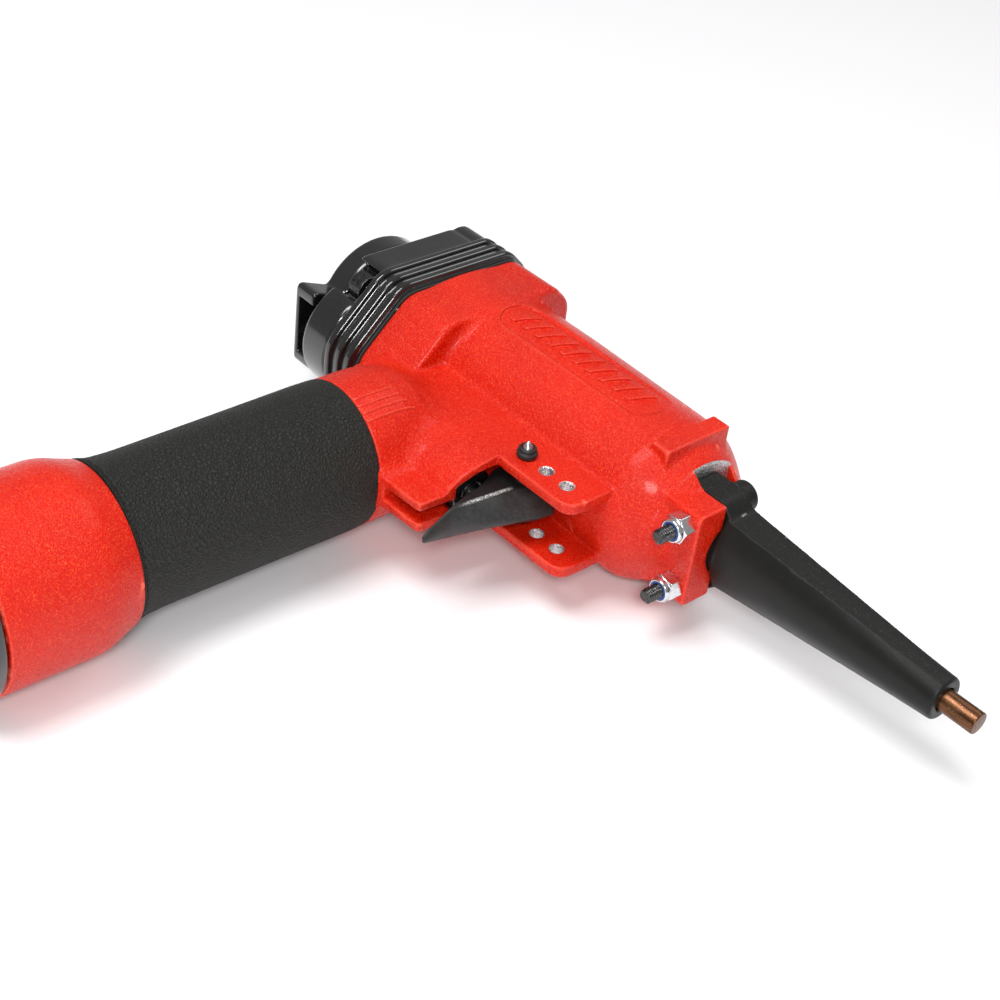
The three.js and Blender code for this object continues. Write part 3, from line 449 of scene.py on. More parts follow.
def tube(name, path, radius, sides=12):
    """A round bar along a path of points, with domed ends."""
    path = np.asarray(path, float)
    heading = np.gradient(path, axis=0)
    heading /= np.linalg.norm(heading, axis=1, keepdims=True)
    side = np.cross(heading[0], (0.31, 0.17, 0.93))
    turn = np.linspace(0, 2 * math.pi, sides, endpoint=False)
    dome = (0.5, 0.8, 0.98)
    stations = [(0, -part) for part in reversed(dome)] + [(i, 0) for i in range(len(path))]
    stations += [(len(path) - 1, part) for part in dome]
    rings = []
    for i, part in stations:
        side = side - heading[i] * np.dot(side, heading[i])
        side = side / np.linalg.norm(side)
        up = np.cross(heading[i], side)
        size = radius * math.sqrt(1 - part * part)
        ring = np.outer(np.cos(turn), side) + np.outer(np.sin(turn), up)
        rings.append(path[i] + heading[i] * part * radius + ring * size)
    return skin(name, rings)


def spring(name, radius, wire, low, high, turns, at=ON_AXIS):
    """A compression spring along x whose end coils close up flat."""
    steps_per_turn, closing = 40, 2.6
    t = np.linspace(0, 1, turns * steps_per_turn)
    eased = t - np.sin(2 * math.pi * t) / (closing * math.pi)
    angle = 2 * math.pi * turns * t
    path = np.stack([
        low + wire + (high - low - 2 * wire) * eased,
        at[1] + radius * np.cos(angle),
        at[2] + radius * np.sin(angle),
    ], axis=1)
    return tube(name, path, wire)


def copy_of(master, name, place, turn=None):
    """A copy of a piece that was built at the tool's origin, turned there and moved to its place."""
    mesh = master.data.copy()
    mesh.transform(Matrix.Translation(-ORIGIN))
    if turn:
        mesh.transform(turn.to_4x4())
    mesh.transform(Matrix.Translation(ORIGIN + Vector(place) * MM))
    return in_scene(name, mesh)


# ---- Casting ----

def head_outline(growth=0.0):
    """The outline that casting, gasket and cap share where they meet, as (y, z)."""
    top, front, rear, side = HEAD_HALF + growth, 26 + growth, -36.2 - growth, 0.42 * growth
    return rounded(mirrored([
        (front, 16.5 + side, 3), (19.5 + side, top, 3), (-19.5 - side, top, 4), (rear, 6.3 + side, 5),
    ]))


def barrel(x, y, z):
    """The barrel draws in a little towards the nose, and sinks towards the handle as it does so."""
    straight_end, curve = 40, 1.6
    towards = np.clip((x - straight_end) / (DOME_START - straight_end), 0, 1)
    dome = np.clip((x - DOME_START) / (DOME_END - DOME_START), 0, 1)
    fall = DOME_START_R - DOME_END_R
    radius = BARREL_R + (DOME_START_R - BARREL_R) * towards - fall * dome ** curve
    slope = curve * fall * dome ** (curve - 1) / (DOME_END - DOME_START)
    sides = (np.hypot(y + DOME_DROP * towards, z) - radius) / np.sqrt(1 + slope * slope)
    return between(sides, x, 1, DOME_END, 1.0)


def trigger_bracket(clay):
    """The slab under the barrel, which divides into two ears and thins in a long slope to a split horn."""
    around = ((2, -66, -14), (92, -8, 14))
    plan = rounded([
        (SLAB_BACK, -12), (SLAB_BACK, -46, 4), (36, HORN_TOP), (36, GRIP_TOP), (52.8, GRIP_TOP, 4),
        (59, -60.4, 1.2), (59.3, HORN_TOP, 2), (60, -47.8, 2), (SLAB_FRONT, -42, 2),
        (SLAB_FRONT, EAR_EDGE, 0.5), (EAR_END, EAR_EDGE, 5), (EAR_END, -12),
    ])
    section = rounded(mirrored([
        (-8, SLAB_HALF), (-38, SLAB_HALF, 2), (-42.6, 10.9, 2), (-48, 9.2, 2), (-51, 6.3, 1),
        (HORN_TOP, HORN_HALF, 0.5), (GRIP_TOP - 2, HORN_HALF),
    ]))
    edge, slot_half = 0.5, 2

    def plate(x, y, z):
        return both(outline_distance(plan, x, y) + edge, outline_distance(section, y, z) + edge) - edge

    pocket = rounded(mirrored([
        (-24.5, EAR_INNER, 1), (-43, EAR_INNER, 2), (POCKET_END, 5.8, 1),
    ]))
    clay.add(plate, 0, around)
    clay.remove(box((45.5, -70, -slot_half), (66, POCKET_END, slot_half)), 0.5, around)
    clay.remove(prism("x", pocket, 54, 62), 0.6, around)
    clay.remove(box((SLAB_FRONT, -40, -EAR_INNER), (92, -6, EAR_INNER)), 0.6, around)


def handle_root(clay):
    """The root of the handle swells out of the slab, and a slimmer core runs on under the grip."""
    root = [
        (-20, 0), (-28, 6), (-33, 11.6), (-37, 15.4), (-42, 18.6), (-48, ROOT_R - 0.3), (-53, ROOT_R),
        (GRIP_TOP + 0.4, ROOT_R), (GRIP_TOP, ROOT_R - 0.4), (GRIP_TOP, 0),
    ]
    clay.add(turned("y", root, IN_HANDLE, HANDLE_SQUEEZE), 4.5, ((2, -62, -22), (47, -18, 22)))
    core = rod("y", CORE_R, GRIP_END - 2, GRIP_TOP + 2, IN_HANDLE)
    clay.add(core, 0, ((6, -136, -20), (44, -58, 20)))


def handle_flare(clay):
    flare = rounded([
        (GRIP_END + 4, 0), (GRIP_END - 0.2, 19), (GRIP_END - 0.2, 21.4, 0.6), (-134.5, 22.4, 1.5),
        (-140, REST_HALF, 3.5), (FLARE_END, REST_HALF, 0.4), (FLARE_END, 0),
    ])
    clay.add(turned("y", flare, IN_HANDLE), 0, ((0, -170, -25), (50, -126, 25)))


def nose_mount(clay):
    """The bar across the barrel, the flange that the nose bolts to, and the slot between them."""
    lug = box((88, -11.3, 6), (93.8, 11.3, HEAD_HALF - 0.2), 0.5)
    flange = rounded(mirrored([(FLANGE_NEAR, PLATE_HALF, 1.6), (PLATE_NEAR, PLATE_HALF, 0.7)]))
    clay.add(lug, 0.9, ((84, -15, 4), (98, 15, 27)))
    clay.add(prism("x", flange, 92, FLANGE_FACE, 0.6), 1.2, ((88, -19, -18), (112, 0, 18)))
    slot = box((NOSE_SEAT, PLATE_NEAR - 0.2, -30), (116, 8.8, 30))
    clay.remove(slot, 0.6, ((96, -8, -26), (112, 12, 26)))
    clay.bore("x", 8.5, NOSE_SEAT, 116, ON_AXIS, 0.6)
    for side, _ in SIDES:
        clay.bore("y", BOLT_HOLE_R, -20, 0, (BOLT_X, 0, side * BOLT_Z), 0.3)


def panel_outline(inset=0.0):
    low, high, half = PANEL_START + inset, PANEL_END - inset, PANEL_HALF - inset
    return rounded(mirrored([(low, half), (high, half)]), half)


def panel_recess(x, y, z):
    floor = BARREL_R - PANEL_DEPTH - np.hypot(y, z)
    return shared(outline_distance(panel_outline(), x, y), floor, 0.5)


def casting_hollows(clay):
    clay.remove(panel_recess, 0.6, ((18, -9, 18), (83, 9, 26)))
    clay.bore("x", CHAMBER_R, -2, 80)
    clay.bore("x", 17.9, 78, 88.5)
    clay.bore("x", 5.7, 86, 108)
    clay.bore("y", 13.5, FLARE_END - 3, -52, IN_HANDLE)
    clay.bore("y", 8.5, -54, -14, IN_HANDLE, 0.5)
    clay.bore("x", 6.2, 28, 56, IN_VALVE, 0.3)
    for step, radius in enumerate((PIN_HOLE_R, EAR_HOLE_R, EAR_HOLE_R)):
        clay.bore("z", radius, -14, 14, (PIN_X + EAR_HOLE_PITCH * step, PIN_Y, 0), 0.5)
    for y, z in CAP_SCREWS:
        clay.bore("x", CAP_SCREW_R + 0.1, -1, 14, (0, y, z))
    for x, z in END_SCREWS:
        clay.bore("y", END_SCREW_HOLE_R, FLARE_END - 1, -152, (x, 0, z))


def build_casting():
    clay = Clay(*span("body_housing"), 0.4)
    clay.add(barrel, 0, ((0, -26, -26), (DOME_END, 26, 26)))
    head = prism("x", head_outline(), 0, HEAD_LENGTH, 1.6)
    clay.add(head, 3.2, ((0, -40, -26), (26, 30, 26)))
    bracket = clay.blank()
    trigger_bracket(bracket)
    clay.field = joined(clay.field, bracket.field, 0.9)
    handle_root(clay)
    handle_flare(clay)
    nose_mount(clay)
    casting_hollows(clay)
    return clay.mesh("casting", 0.01)


def build_panel():
    """The floor of the recess on the barrel, with slanting ribs standing on it."""
    floor_r, under_r = BARREL_R - PANEL_DEPTH + 0.05, 22
    ribs, first, pitch = 10, 27.5, 5
    half_length, half_width, lean, edge = 3.8, 0.9, 1.7, 0.2
    low = (PANEL_START - 1, -PANEL_HALF - 1, 20.5)
    high = (PANEL_END + 1, PANEL_HALF + 1, BARREL_R + 0.3)
    clay = Clay(low, high, 0.24)
    plate = panel_outline(-0.8)

    def floor(x, y, z):
        radius = np.hypot(y, z)
        return shared(np.maximum(radius - floor_r, under_r - radius), outline_distance(plate, x, y))

    clay.add(floor)
    for i in range(ribs):
        x0 = first + pitch * i
        near, far = x0 - lean, x0 + lean
        outline = rounded([
            (near - half_width, -half_length), (near + half_width, -half_length),
            (far + half_width, half_length), (far - half_width, half_length),
        ], 0.6)

        def rib(x, y, z, outline=outline):
            height = np.maximum(np.hypot(y, z) - BARREL_R, under_r + 0.5 - np.hypot(y, z))
            return both(outline_distance(outline, x, y) + edge, height + edge) - edge

        clay.add(rib, edge, ((x0 - 4, -5, 21), (x0 + 4, 5, 25)))
    return clay.mesh("casting_panel")


def thumb_lines():
    """Four raised lines for the thumb, cast into each face of the handle's root."""
    lines = []
    radius_of_line, sunk = 0.42, 0.1
    offsets_and_ends = ((5.3, -48.7), (7.5, -48.0), (9.4, -46.8), (11.3, -45.4))
    for side, word in SIDES:
        for i, (offset, end) in enumerate(offsets_and_ends, 1):
            y = np.linspace(GRIP_TOP + 0.6, end, 24)
            radius = np.interp(-y, (42, 48, 53), (18.6, ROOT_R - 0.3, ROOT_R))
            z = np.sqrt(radius ** 2 - (offset / HANDLE_SQUEEZE) ** 2)
            path = np.stack([HANDLE_X + offset + 0 * y, y, side * (z - sunk)], axis=1)
            lines.append(tube(f"thumb_line_{word}_{i}", path, radius_of_line))
    return lines


# ---- Handle ----

def build_grip():
    inner = CORE_R + 0.3
    profile = [
        (GRIP_TOP, inner), (GRIP_TOP, 20.5, 0.7), (-66, 20.75, 3), (-90, 20.5, 5), (-122, 20.3, 4),
        (-128.5, 20.8, 2), (GRIP_END + 0.9, 21.5, 0.6), (GRIP_END, 21.7, 0.4), (GRIP_END, inner),
    ]
    return lathe("grip", "y", profile, IN_HANDLE, HANDLE_SQUEEZE, 0.1, 160)


def build_end_cap():
    rim, spigot, outside = REST_HALF - 0.2, -157, END_CAP_END - 4
    clay = Clay(*span("handle_end_cap"), 0.35)
    clay.add(rod("y", rim, END_CAP_END, FLARE_END, IN_HANDLE, 1.6))
    clay.add(rod("y", 13.2, FLARE_END - 1, spigot, IN_HANDLE))
    clay.keep(lambda x, y, z: between(np.hypot(x - HANDLE_X, z) - rim, y, END_CAP_END, spigot, 1.6))
    seal_slot = rod("y", 30, -161.2, -159, IN_HANDLE)
    clay.remove(lambda x, y, z: np.maximum(seal_slot(x, y, z), 11.9 - np.hypot(x - HANDLE_X, z)))
    clay.bore("y", 10.4, outside, END_CAP_END + 1.2, IN_HANDLE, 0.6)
    clay.bore("y", 8.6, outside, -150, IN_HANDLE, 0.4)
    for x, z in END_SCREWS:
        clay.bore("y", 3.9, outside, END_SCREW_SEAT, (x, 0, z), 0.5)
        clay.bore("y", END_SCREW_HOLE_R, -172, -160, (x, 0, z))
    return clay.mesh("end_cap", 0.01)


def build_inlet():
    """The air fitting: a hexagon outside, and a female pipe thread inside."""
    low, high = span("air_inlet")
    mouth, inside = low[1], high[1]
    clay = Clay(low, high, 0.2)
    clay.add(hex_rod("y", 19, mouth, END_CAP_END, IN_HANDLE, 0.3))
    chamfered = [(mouth, 0), (mouth, 9.4), (mouth + 1.2, 11.2), (-150, 11.2), (-150, 0)]
    clay.keep(turned("y", chamfered, IN_HANDLE))
    clay.add(rod("y", 8.4, END_CAP_END - 0.2, inside, IN_HANDLE, 0.4))
    clay.remove(threaded_rod("y", 6.35, 1.41, mouth - 3, -163, IN_HANDLE), 0.1)
    clay.bore("y", 5.7, mouth - 3, inside + 3, IN_HANDLE)
    funnel = [(mouth - 1, 0), (mouth - 1, 7.6), (mouth + 1.4, 5.6), (mouth + 1.4, 0)]
    clay.remove(turned("y", funnel, IN_HANDLE), 0.2)
    return clay.mesh("inlet")


def build_filter():
    """A disc with rows of holes, each row set half a pitch from the next."""
    low, high = span("inlet_filter")
    clay = Clay(low, high, 0.12)
    clay.add(rod("y", 5.4, low[1], high[1], IN_HANDLE, 0.2))
    pitch, row_share, field_r, hole_r = 1.5, 0.87, 4.3, 0.5
    for i in range(-3, 4):
        for j in range(-3, 4):
            x, z = pitch * (i + 0.5 * (j % 2)), pitch * row_share * j
            if math.hypot(x, z) < field_r:
                clay.bore("y", hole_r, low[1] - 2, high[1] + 2, (HANDLE_X + x, 0, z), 0.1)
    return clay.mesh("filter_disc")


# ---- Fasteners ----

def knurled_head(axis, radius, height, knurls, depth):
    """The head of a socket screw, which stands towards -x on the x axis or towards +y on the y axis."""
    low, high = (-height, 0) if axis == "x" else (0, height)

    def field(x, y, z):
        a, b, along = (z, y, x) if axis == "x" else (z, x, y)
        knurl = depth * np.abs(np.sin(knurls / 2 * np.arctan2(a, b)))
        return between(np.hypot(a, b) - radius + knurl, along, low, high, 0.35)
    return field


def build_screw(name, head_r, head_height, shank_r, length, socket, pitch, knurls=36):
    """A socket-head screw pointing along +x, with the underside of its head at the origin."""
    clay = Clay((-head_height, -head_r, -head_r), (length, head_r, head_r), 0.17)
    clay.add(knurled_head("x", head_r, head_height, knurls, 0.07))
    clay.add(threaded_rod("x", shank_r, pitch, 2, length, ON_AXIS, 0.5))
    clay.add(rod("x", shank_r, -0.5, min(5, length), ON_AXIS, 0.1), 0.2)
    clay.remove(hex_rod("x", socket, -head_height - 2, -0.45 * head_height), 0.15)
    above, below = -head_height - 1, -head_height + 0.35
    chamfer = [(above, 0), (above, 0.7 * socket + 0.5), (below, 0.5 * socket), (below, 0)]
    clay.remove(turned("x", chamfer), 0.1)
    return clay.mesh(name)


def build_nose_bolt():
    """Points along -y from the origin, where the underside of its head is; its threaded end shows."""
    low, high = span("nose_bolt_upper")
    length, head_height = PLATE_FAR - low[1], high[1] - PLATE_FAR
    clay = Clay((-3.6, -length, -3.6), (3.6, head_height, 3.6), 0.12)
    clay.add(knurled_head("y", BOLT_HEAD_R, head_height, 32, 0.06))
    clay.add(threaded_rod("y", 1.98, 0.7, -length, -12, ON_AXIS, 0.45))
    clay.add(rod("y", 1.95, -16, 0.5, ON_AXIS, 0.1), 0.1)
    clay.remove(hex_rod("y", 3, head_height - 2.2, head_height + 2), 0.12)
    return clay.mesh("bolt_master")


def build_nut():
    """A nylon-insert lock nut of 7 mm across flats, on the y axis with its seat at the origin."""
    height, across, hexagon, corner_r = 5.1, 7, 3.6, 4.1
    clay = Clay((-4.2, -height, -4.2), (4.2, 0, 4.2), 0.11)
    clay.add(hex_rod("y", across, -hexagon, 0, ON_AXIS, 0.08))
    clay.keep(turned("y", [
        (-hexagon, 0), (-hexagon, 3.6), (-hexagon + 0.4, corner_r), (-0.2, corner_r), (0, 3.8), (0, 0),
    ]))
    clay.add(turned("y", rounded([
        (-hexagon + 0.3, 0), (-hexagon + 0.3, 3.35), (-hexagon - 0.6, 3.3, 0.3),
        (-height, 3.1, 0.45), (-height, 0),
    ])), 0.25)
    clay.remove(rod("y", INSERT_R, -height - 1, -height + 1.5), 0.15)
    clay.remove(rod("y", BOLT_R, -height - 1, 1), 0.1)
    return clay.mesh("nut_master")


# ---- Head ----

def build_gasket():
    clay = Clay(*span("head_gasket"), 0.25)
    clay.add(prism("x", head_outline(-0.2), -GASKET + 0.02, -0.02, 0.2))
    clay.bore("x", CHAMBER_R, -3, 3)
    for y, z in CAP_SCREWS:
        clay.bore("x", CAP_HOLE_R, -3, 3, (0, y, z))
    return clay.mesh("gasket", 0.02)


def build_cap():
    """The ribbed head cap, with a boss and a pocket for each screw and a ring of exhaust ports."""
    clay = Clay(*span("head_cap"), 0.3)
    side, above, outside = HEAD_HALF - 0.3, POCKET_FLOOR + 1, CAP_END - 3
    block = rounded(mirrored([(-24, 15), (-18, side), (17, side), (23.2, 14.8)]), 3)
    clay.add(prism("x", head_outline(), POCKET_FLOOR + 0.4, -GASKET, 0.5))
    clay.add(prism("x", block, CAP_END, above, 1.1), 0.8)
    clay.add(rod("x", 17, CAP_END, above, (0, -20, 0), 1.1), 0.8)
    clay.add(rod("x", 7.5, CAP_END - 2, CAP_END + 1, IN_DEFLECTOR, 0.3), 0.5)
    for y, z in CAP_SCREWS:
        if y > 0:
            clay.add(rod("x", CAP_BOSS_R, CAP_END, above, (0, y, z), 0.8), 0.5)
    for i in range(CAP_RIBS):
        centre = -GASKET - 1.9 - CAP_RIB_PITCH * i
        outline = head_outline(REST_HALF - HEAD_HALF)
        rib = prism("x", outline, centre - CAP_RIB_HALF, centre + CAP_RIB_HALF, 0.75)
        clay.add(rib, 0.9, ((centre - 3, -40, -26), (centre + 3, 30, 26)))
    for y, z in CAP_SCREWS:
        pocket_r = FRONT_POCKET_R if y > 0 else REAR_POCKET_R
        clay.bore("x", pocket_r, outside, POCKET_FLOOR, (0, y, z), 0.5, 0.6)
        clay.bore("x", CAP_HOLE_R, POCKET_FLOOR - 1, 3, (0, y, z))
    for i in range(CAP_PORTS):
        angle = 2 * math.pi / CAP_PORTS * i
        place = (0, DEFLECTOR_Y + CAP_PORT_RING_R * math.cos(angle), CAP_PORT_RING_R * math.sin(angle))
        clay.bore("x", 1.8, outside, -19, place, 0.3)
    clay.bore("x", 18.6, -20.5, 3)
    clay.bore("x", 2.1, CAP_END - 5, CAP_END + 2, IN_DEFLECTOR, 0.2)
    return clay.mesh("cap", 0.01)


def build_deflector():
    """A dished cover that turns about its screw, with one hooded spout."""
    below, beyond, roof = DEFLECTOR_TOP - 3, DEFLECTOR_RIM + 3, DEFLECTOR_TOP + 2.6
    clay = Clay(*span("exhaust_deflector"), 0.28)
    clay.add(rod("x", 19.8, DEFLECTOR_TOP, DEFLECTOR_RIM, IN_DEFLECTOR, 1.7))

    def spout(near, far, reach, radius):
        start, end = DEFLECTOR_Y - 14, DEFLECTOR_Y - reach
        return rounded(mirrored([(start, near), (end, far, radius)]))

    clay.add(prism("x", spout(8, 13.6, 28.8, 3), DEFLECTOR_TOP + 0.8, DEFLECTOR_RIM, 0.9), 1.8)
    clay.keep(lambda x, y, z: x - DEFLECTOR_RIM + 0 * y + 0 * z, 0.4)
    clay.remove(rod("x", 17.8, roof, beyond, IN_DEFLECTOR), 0.6)
    clay.remove(prism("x", spout(5.5, 11, 36, 0), roof, beyond), 0.6)
    clay.add(rod("x", 6, DEFLECTOR_TOP + 1, DEFLECTOR_RIM, IN_DEFLECTOR, 0.3), 0.8)
    clay.remove(rod("x", 5.2, below, DEFLECTOR_TOP + 1.8, IN_DEFLECTOR), 0.4)
    clay.remove(rod("x", 2.4, below, beyond, IN_DEFLECTOR), 0.2)
    return clay.mesh("deflector_hood", 0.01)


# ---- Trigger ----

def eased(y, stations, values, reach=1.6):
    """Values that run smoothly between stations along y."""
    shifts = np.linspace(-reach, reach, 9)
    return sum(np.interp(-(y + shift), [-s for s in stations], values) for shift in shifts) / len(shifts)


def lever(x, y, z):
    """Flat sides from the back to a crease, then a face that bulges towards the finger."""
    stations = (-27, -28.4, -34.4, -42.6, -49, -55, -64, -65)
    back = eased(y, stations, (62, 59.6, 57.2, 61.2, 62.3, 63.8, 65.4, 65.8))
    crease = eased(y, stations, (67.3, 67.1, 66.5, 65.9, 65.3, 64.6, 66, 66.3))
    depth = eased(y, stations, (5, 8.7, 8.6, 5.9, 3.9, 1.4, 0.7, 0.4))
    half = eased(y, stations, (4.4, 5, 5, 5, 5, 4.5, 1.6, 0.8), 0.8)
    share = np.minimum(np.abs(z) / half, 1)
    steep = LEVER_BULGE * depth * share ** (LEVER_BULGE - 1) / half
    face = (x - crease - depth * (1 - share ** LEVER_BULGE)) / np.sqrt(1 + steep * steep)
    sides = shared(np.abs(z) - half, face, 0.25)
    return between(shared(sides, back - x, 0.5), y + 0 * x, -65, -27, 0.4)


def build_trigger():
    low, high = span("trigger")
    clay = Clay(low, high, 0.24)
    clay.add(lever)
    clay.remove(box((50, -52, -3.4), (64.2, -35.2, 3.4), 1.0), 0.5)
    clay.add(box((62, VALVE_Y - 3, -3.5), (66, VALVE_Y + 3, 3.5), 0.3), 0.3)
    clay.add(rod("z", 3.1, low[2], high[2], ON_PIN, 0.3), 0.4)
    clay.remove(rod("z", 1.98, low[2] - 3, high[2] + 3, ON_PIN), 0.2)
    return clay.mesh("trigger_lever_piece", 0.01)


def build_pin():
    end = span("trigger_pin")[1][2]
    half = [(end, 0), (end - 1.4, 1.1, 0.25), (end - 2.2, 1.55, 0.3), (SLAB_HALF + 0.4, 1.9, 0.2)]
    profile = [(-z, *rest) for z, *rest in half] + list(reversed(half))
    return lathe("pin", "z", profile, ON_PIN)


def build_pin_ring(side, name):
    """A rubber keeper: a wide disc with a waist and a smaller lip above it."""
    profile = [
        (0.05, 2.0, 0.1), (0.05, 2.45, 0.2), (0.35, 2.75, 0.2), (1.5, 2.75, 0.3), (1.65, 2.25, 0.15),
        (1.95, 2.15, 0.15), (2.1, 2.4, 0.15), (2.65, 2.3, 0.25), (2.9, 1.95, 0.15), (2.9, 1.8, 0),
    ]
    rings = [(side * (SLAB_HALF + along), *rest) for along, *rest in profile]
    return lathe(name, "z", rings, ON_PIN)


def build_valve():
    """The valve's plug: a body with two ring grooves, and a dished flange behind the trigger."""
    flange, body_r, floor_r = VALVE_FACE - 3.9, 6, 4.9
    seals = groove(42, 44, body_r, floor_r) + groove(49, 51, body_r, floor_r)
    profile = [(VALVE_BACK, 0), (VALVE_BACK, body_r), *seals, (flange, body_r), (flange, 6.8)] + [
        (VALVE_FACE - 1.1, 6.8, 0.5), (VALVE_FACE, 5.7, 0.6), (VALVE_FACE, 3.4, 0.4),
        (VALVE_FACE - 0.9, 3.0, 0.3), (VALVE_FACE - 0.9, 0),
    ]
    clay = Clay(*span("trigger_valve_body"), 0.17)
    clay.add(turned("x", rounded(profile, 0.15), IN_VALVE))
    clay.remove(rod("x", 2.25, VALVE_BACK + 6, VALVE_FACE + 3, IN_VALVE), 0.2)
    clay.remove(rod("x", 4.2, VALVE_BACK + 1.2, 52, IN_VALVE))
    clay.remove(rod("x", 1.2, VALVE_BACK - 3, VALVE_BACK + 3, IN_VALVE))
    return clay.mesh("valve_plug", 0.01)


def build_stem():
    tip = span("trigger_valve_stem")[1][0]
    profile = [
        (42, 0), (42, 1.4), (46.2, 1.4), (46.2, 3.9), (49, 3.9), (49, 2.1), (tip - 2, 2.1, 0.5),
        (tip - 0.7, 1.7, 0.6), (tip, 0.6, 0.4), (tip, 0),
    ]
    return lathe("stem", "x", profile, IN_VALVE, reach=0.2)


# ---- Nose ----

def nose_base():
    """The root of the nose as (y, z): a bowed near side, a bowed far side, and flat top and bottom."""
    z = np.linspace(-1, 1, 61)
    near = [(-8.2 + 3.3 * part * part, NOSE_HALF * part) for part in z]
    far = [(6.4 - 2 * part * part, NOSE_HALF * part) for part in reversed(z)]
    return near + far


def nose_taper(x, y, z):
    """The nose runs from its four-cornered root to a round tip, so its creases fade as it goes."""
    base = np.array(nose_base() + nose_base()[:1])
    fine = np.concatenate([np.linspace(a, b, 40, endpoint=False) for a, b in zip(base, base[1:])])
    angle = np.arctan2(fine[:, 1], fine[:, 0])
    order = np.argsort(angle)
    angle, reach = angle[order], np.hypot(fine[:, 0], fine[:, 1])[order]
    turn = np.linspace(-math.pi, math.pi, 1441)
    base_r = np.interp(turn, angle, reach, period=2 * math.pi)
    soft = np.hanning(5) / np.hanning(5).sum()
    base_r = np.convolve(np.concatenate([base_r[-3:-1], base_r, base_r[1:3]]), soft, "valid")
    turning = np.gradient(base_r, turn)
    here = np.arctan2(z, y)
    length = NOSE_END - NOSE_START
    share = np.clip((x - NOSE_START) / length, 0, 1)
    radius = (1 - share) * np.interp(here, turn, base_r) + share * NOSE_TIP_R
    steep = (1 - share) * np.interp(here, turn, turning) / radius
    fall = (np.interp(here, turn, base_r) - NOSE_TIP_R) / length
    sides = (np.hypot(y, z) - radius) / np.sqrt(1 + steep * steep + fall * fall)
    return between(sides, x, NOSE_START, NOSE_END, 0.9)


def build_nose():
    clay = Clay(*span("nose_piece"), 0.26)
    half = [(NOSE_SEAT + 0.1, PLATE_HALF), (108.4, PLATE_HALF, 1.4), (NOSE_START + 2, NOSE_HALF - 0.6, 1)]
    plate = rounded([(z, x, *own) for x, z, *own in mirrored(half)])
    clay.add(nose_taper)
    clay.add(prism("y", plate, PLATE_NEAR, PLATE_FAR, 0.4), 0.7)
    clay.add(rod("x", 8.2, NOSE_SEAT + 0.1, NOSE_START + 1, ON_AXIS, 0.3), 0.6)
    clay.add(rod("x", 5.4, 89.5, NOSE_SEAT + 1, ON_AXIS, 0.4))
    for side, _ in SIDES:
        at = (BOLT_X, 0, side * BOLT_Z)
        clay.add(rod("y", 4.3, PLATE_NEAR, BOLT_BOSS_TOP, at, 0.5), 0.6)
        clay.bore("y", BOLT_HEAD_R + 0.3, PLATE_FAR, 14, at, 0.4)
        clay.bore("y", BOLT_HOLE_R, -14, 14, at)
    clay.remove(rod("x", 3.25, 80, NOSE_END + 4), 0.35)
    return clay.mesh("nose", 0.01)


def build_punch():
    radius = 2.95
    profile = [
        (8.1, 0), (8.1, 4.55), (9.9, 4.55), (9.9, radius), (PUNCH_TIP, radius, 0.35), (PUNCH_TIP, 0),
    ]
    return lathe("punch", "x", profile, reach=0.2)


# ---- Drive train ----

def build_sleeve():
    foot = span("cylinder_sleeve")[1][0]
    bore_r, wall_r, collar_r, port_x, port_r = 15, 17.5, 20, 60, 1.3
    profile = [
        (-3, bore_r), (-3, wall_r), (70, wall_r), (70, collar_r), *groove(72.4, 74.6, collar_r, 18.7),
        (77, collar_r), (77, wall_r), (foot, wall_r), (foot, bore_r),
    ]
    clay = Clay(*span("cylinder_sleeve"), 0.4)
    clay.add(turned("x", rounded(profile, 0.25)))
    clay.remove(rod("x", bore_r, -10, 100))
    for i in range(3):
        across = (math.cos(math.pi / 3 * i), math.sin(math.pi / 3 * i))

        def port(x, y, z, across=across):
            return np.hypot(x - port_x, y * across[1] - z * across[0]) - port_r

        clay.remove(port, 0.2, ((port_x - 3, -20, -20), (port_x + 3, 20, 20)))
    return clay.mesh("sleeve", 0.01)


def build_piston():
    top, bottom, radius, socket_r = -2.4, 10, 14.7, 4.95
    profile = [
        (top, 0), (top, radius, 0.6), *groove(2.4, 5.2, radius, 12.9), (bottom, radius, 0.5),
        (bottom, socket_r), (8, socket_r), (8, 0),
    ]
    return lathe("piston_piece", "x", profile, reach=0.2)


def build_head_valve():
    radius, stem_r = 18.2, 7
    profile = [
        (-13, 0), (-13, stem_r, 0.6), (-8, stem_r, 0.4), (-8, radius), *groove(-7.4, -6.2, radius, 17.2),
        (-5, radius), (-5, 0),
    ]
    return lathe("head_valve_piece", "x", profile, reach=0.15)


def ring_piece(name, node, axis, inner, outer, at=ON_AXIS, reach=0.3):
    """A plain ring that fills the length of its CAD node."""
    low, high = span(node)
    order = "xyz".index(axis)
    a, b = low[order], high[order]
    return lathe(name, axis, [(a, inner), (a, outer), (b, outer), (b, inner)], at, reach=reach)


# ---- Materials ----

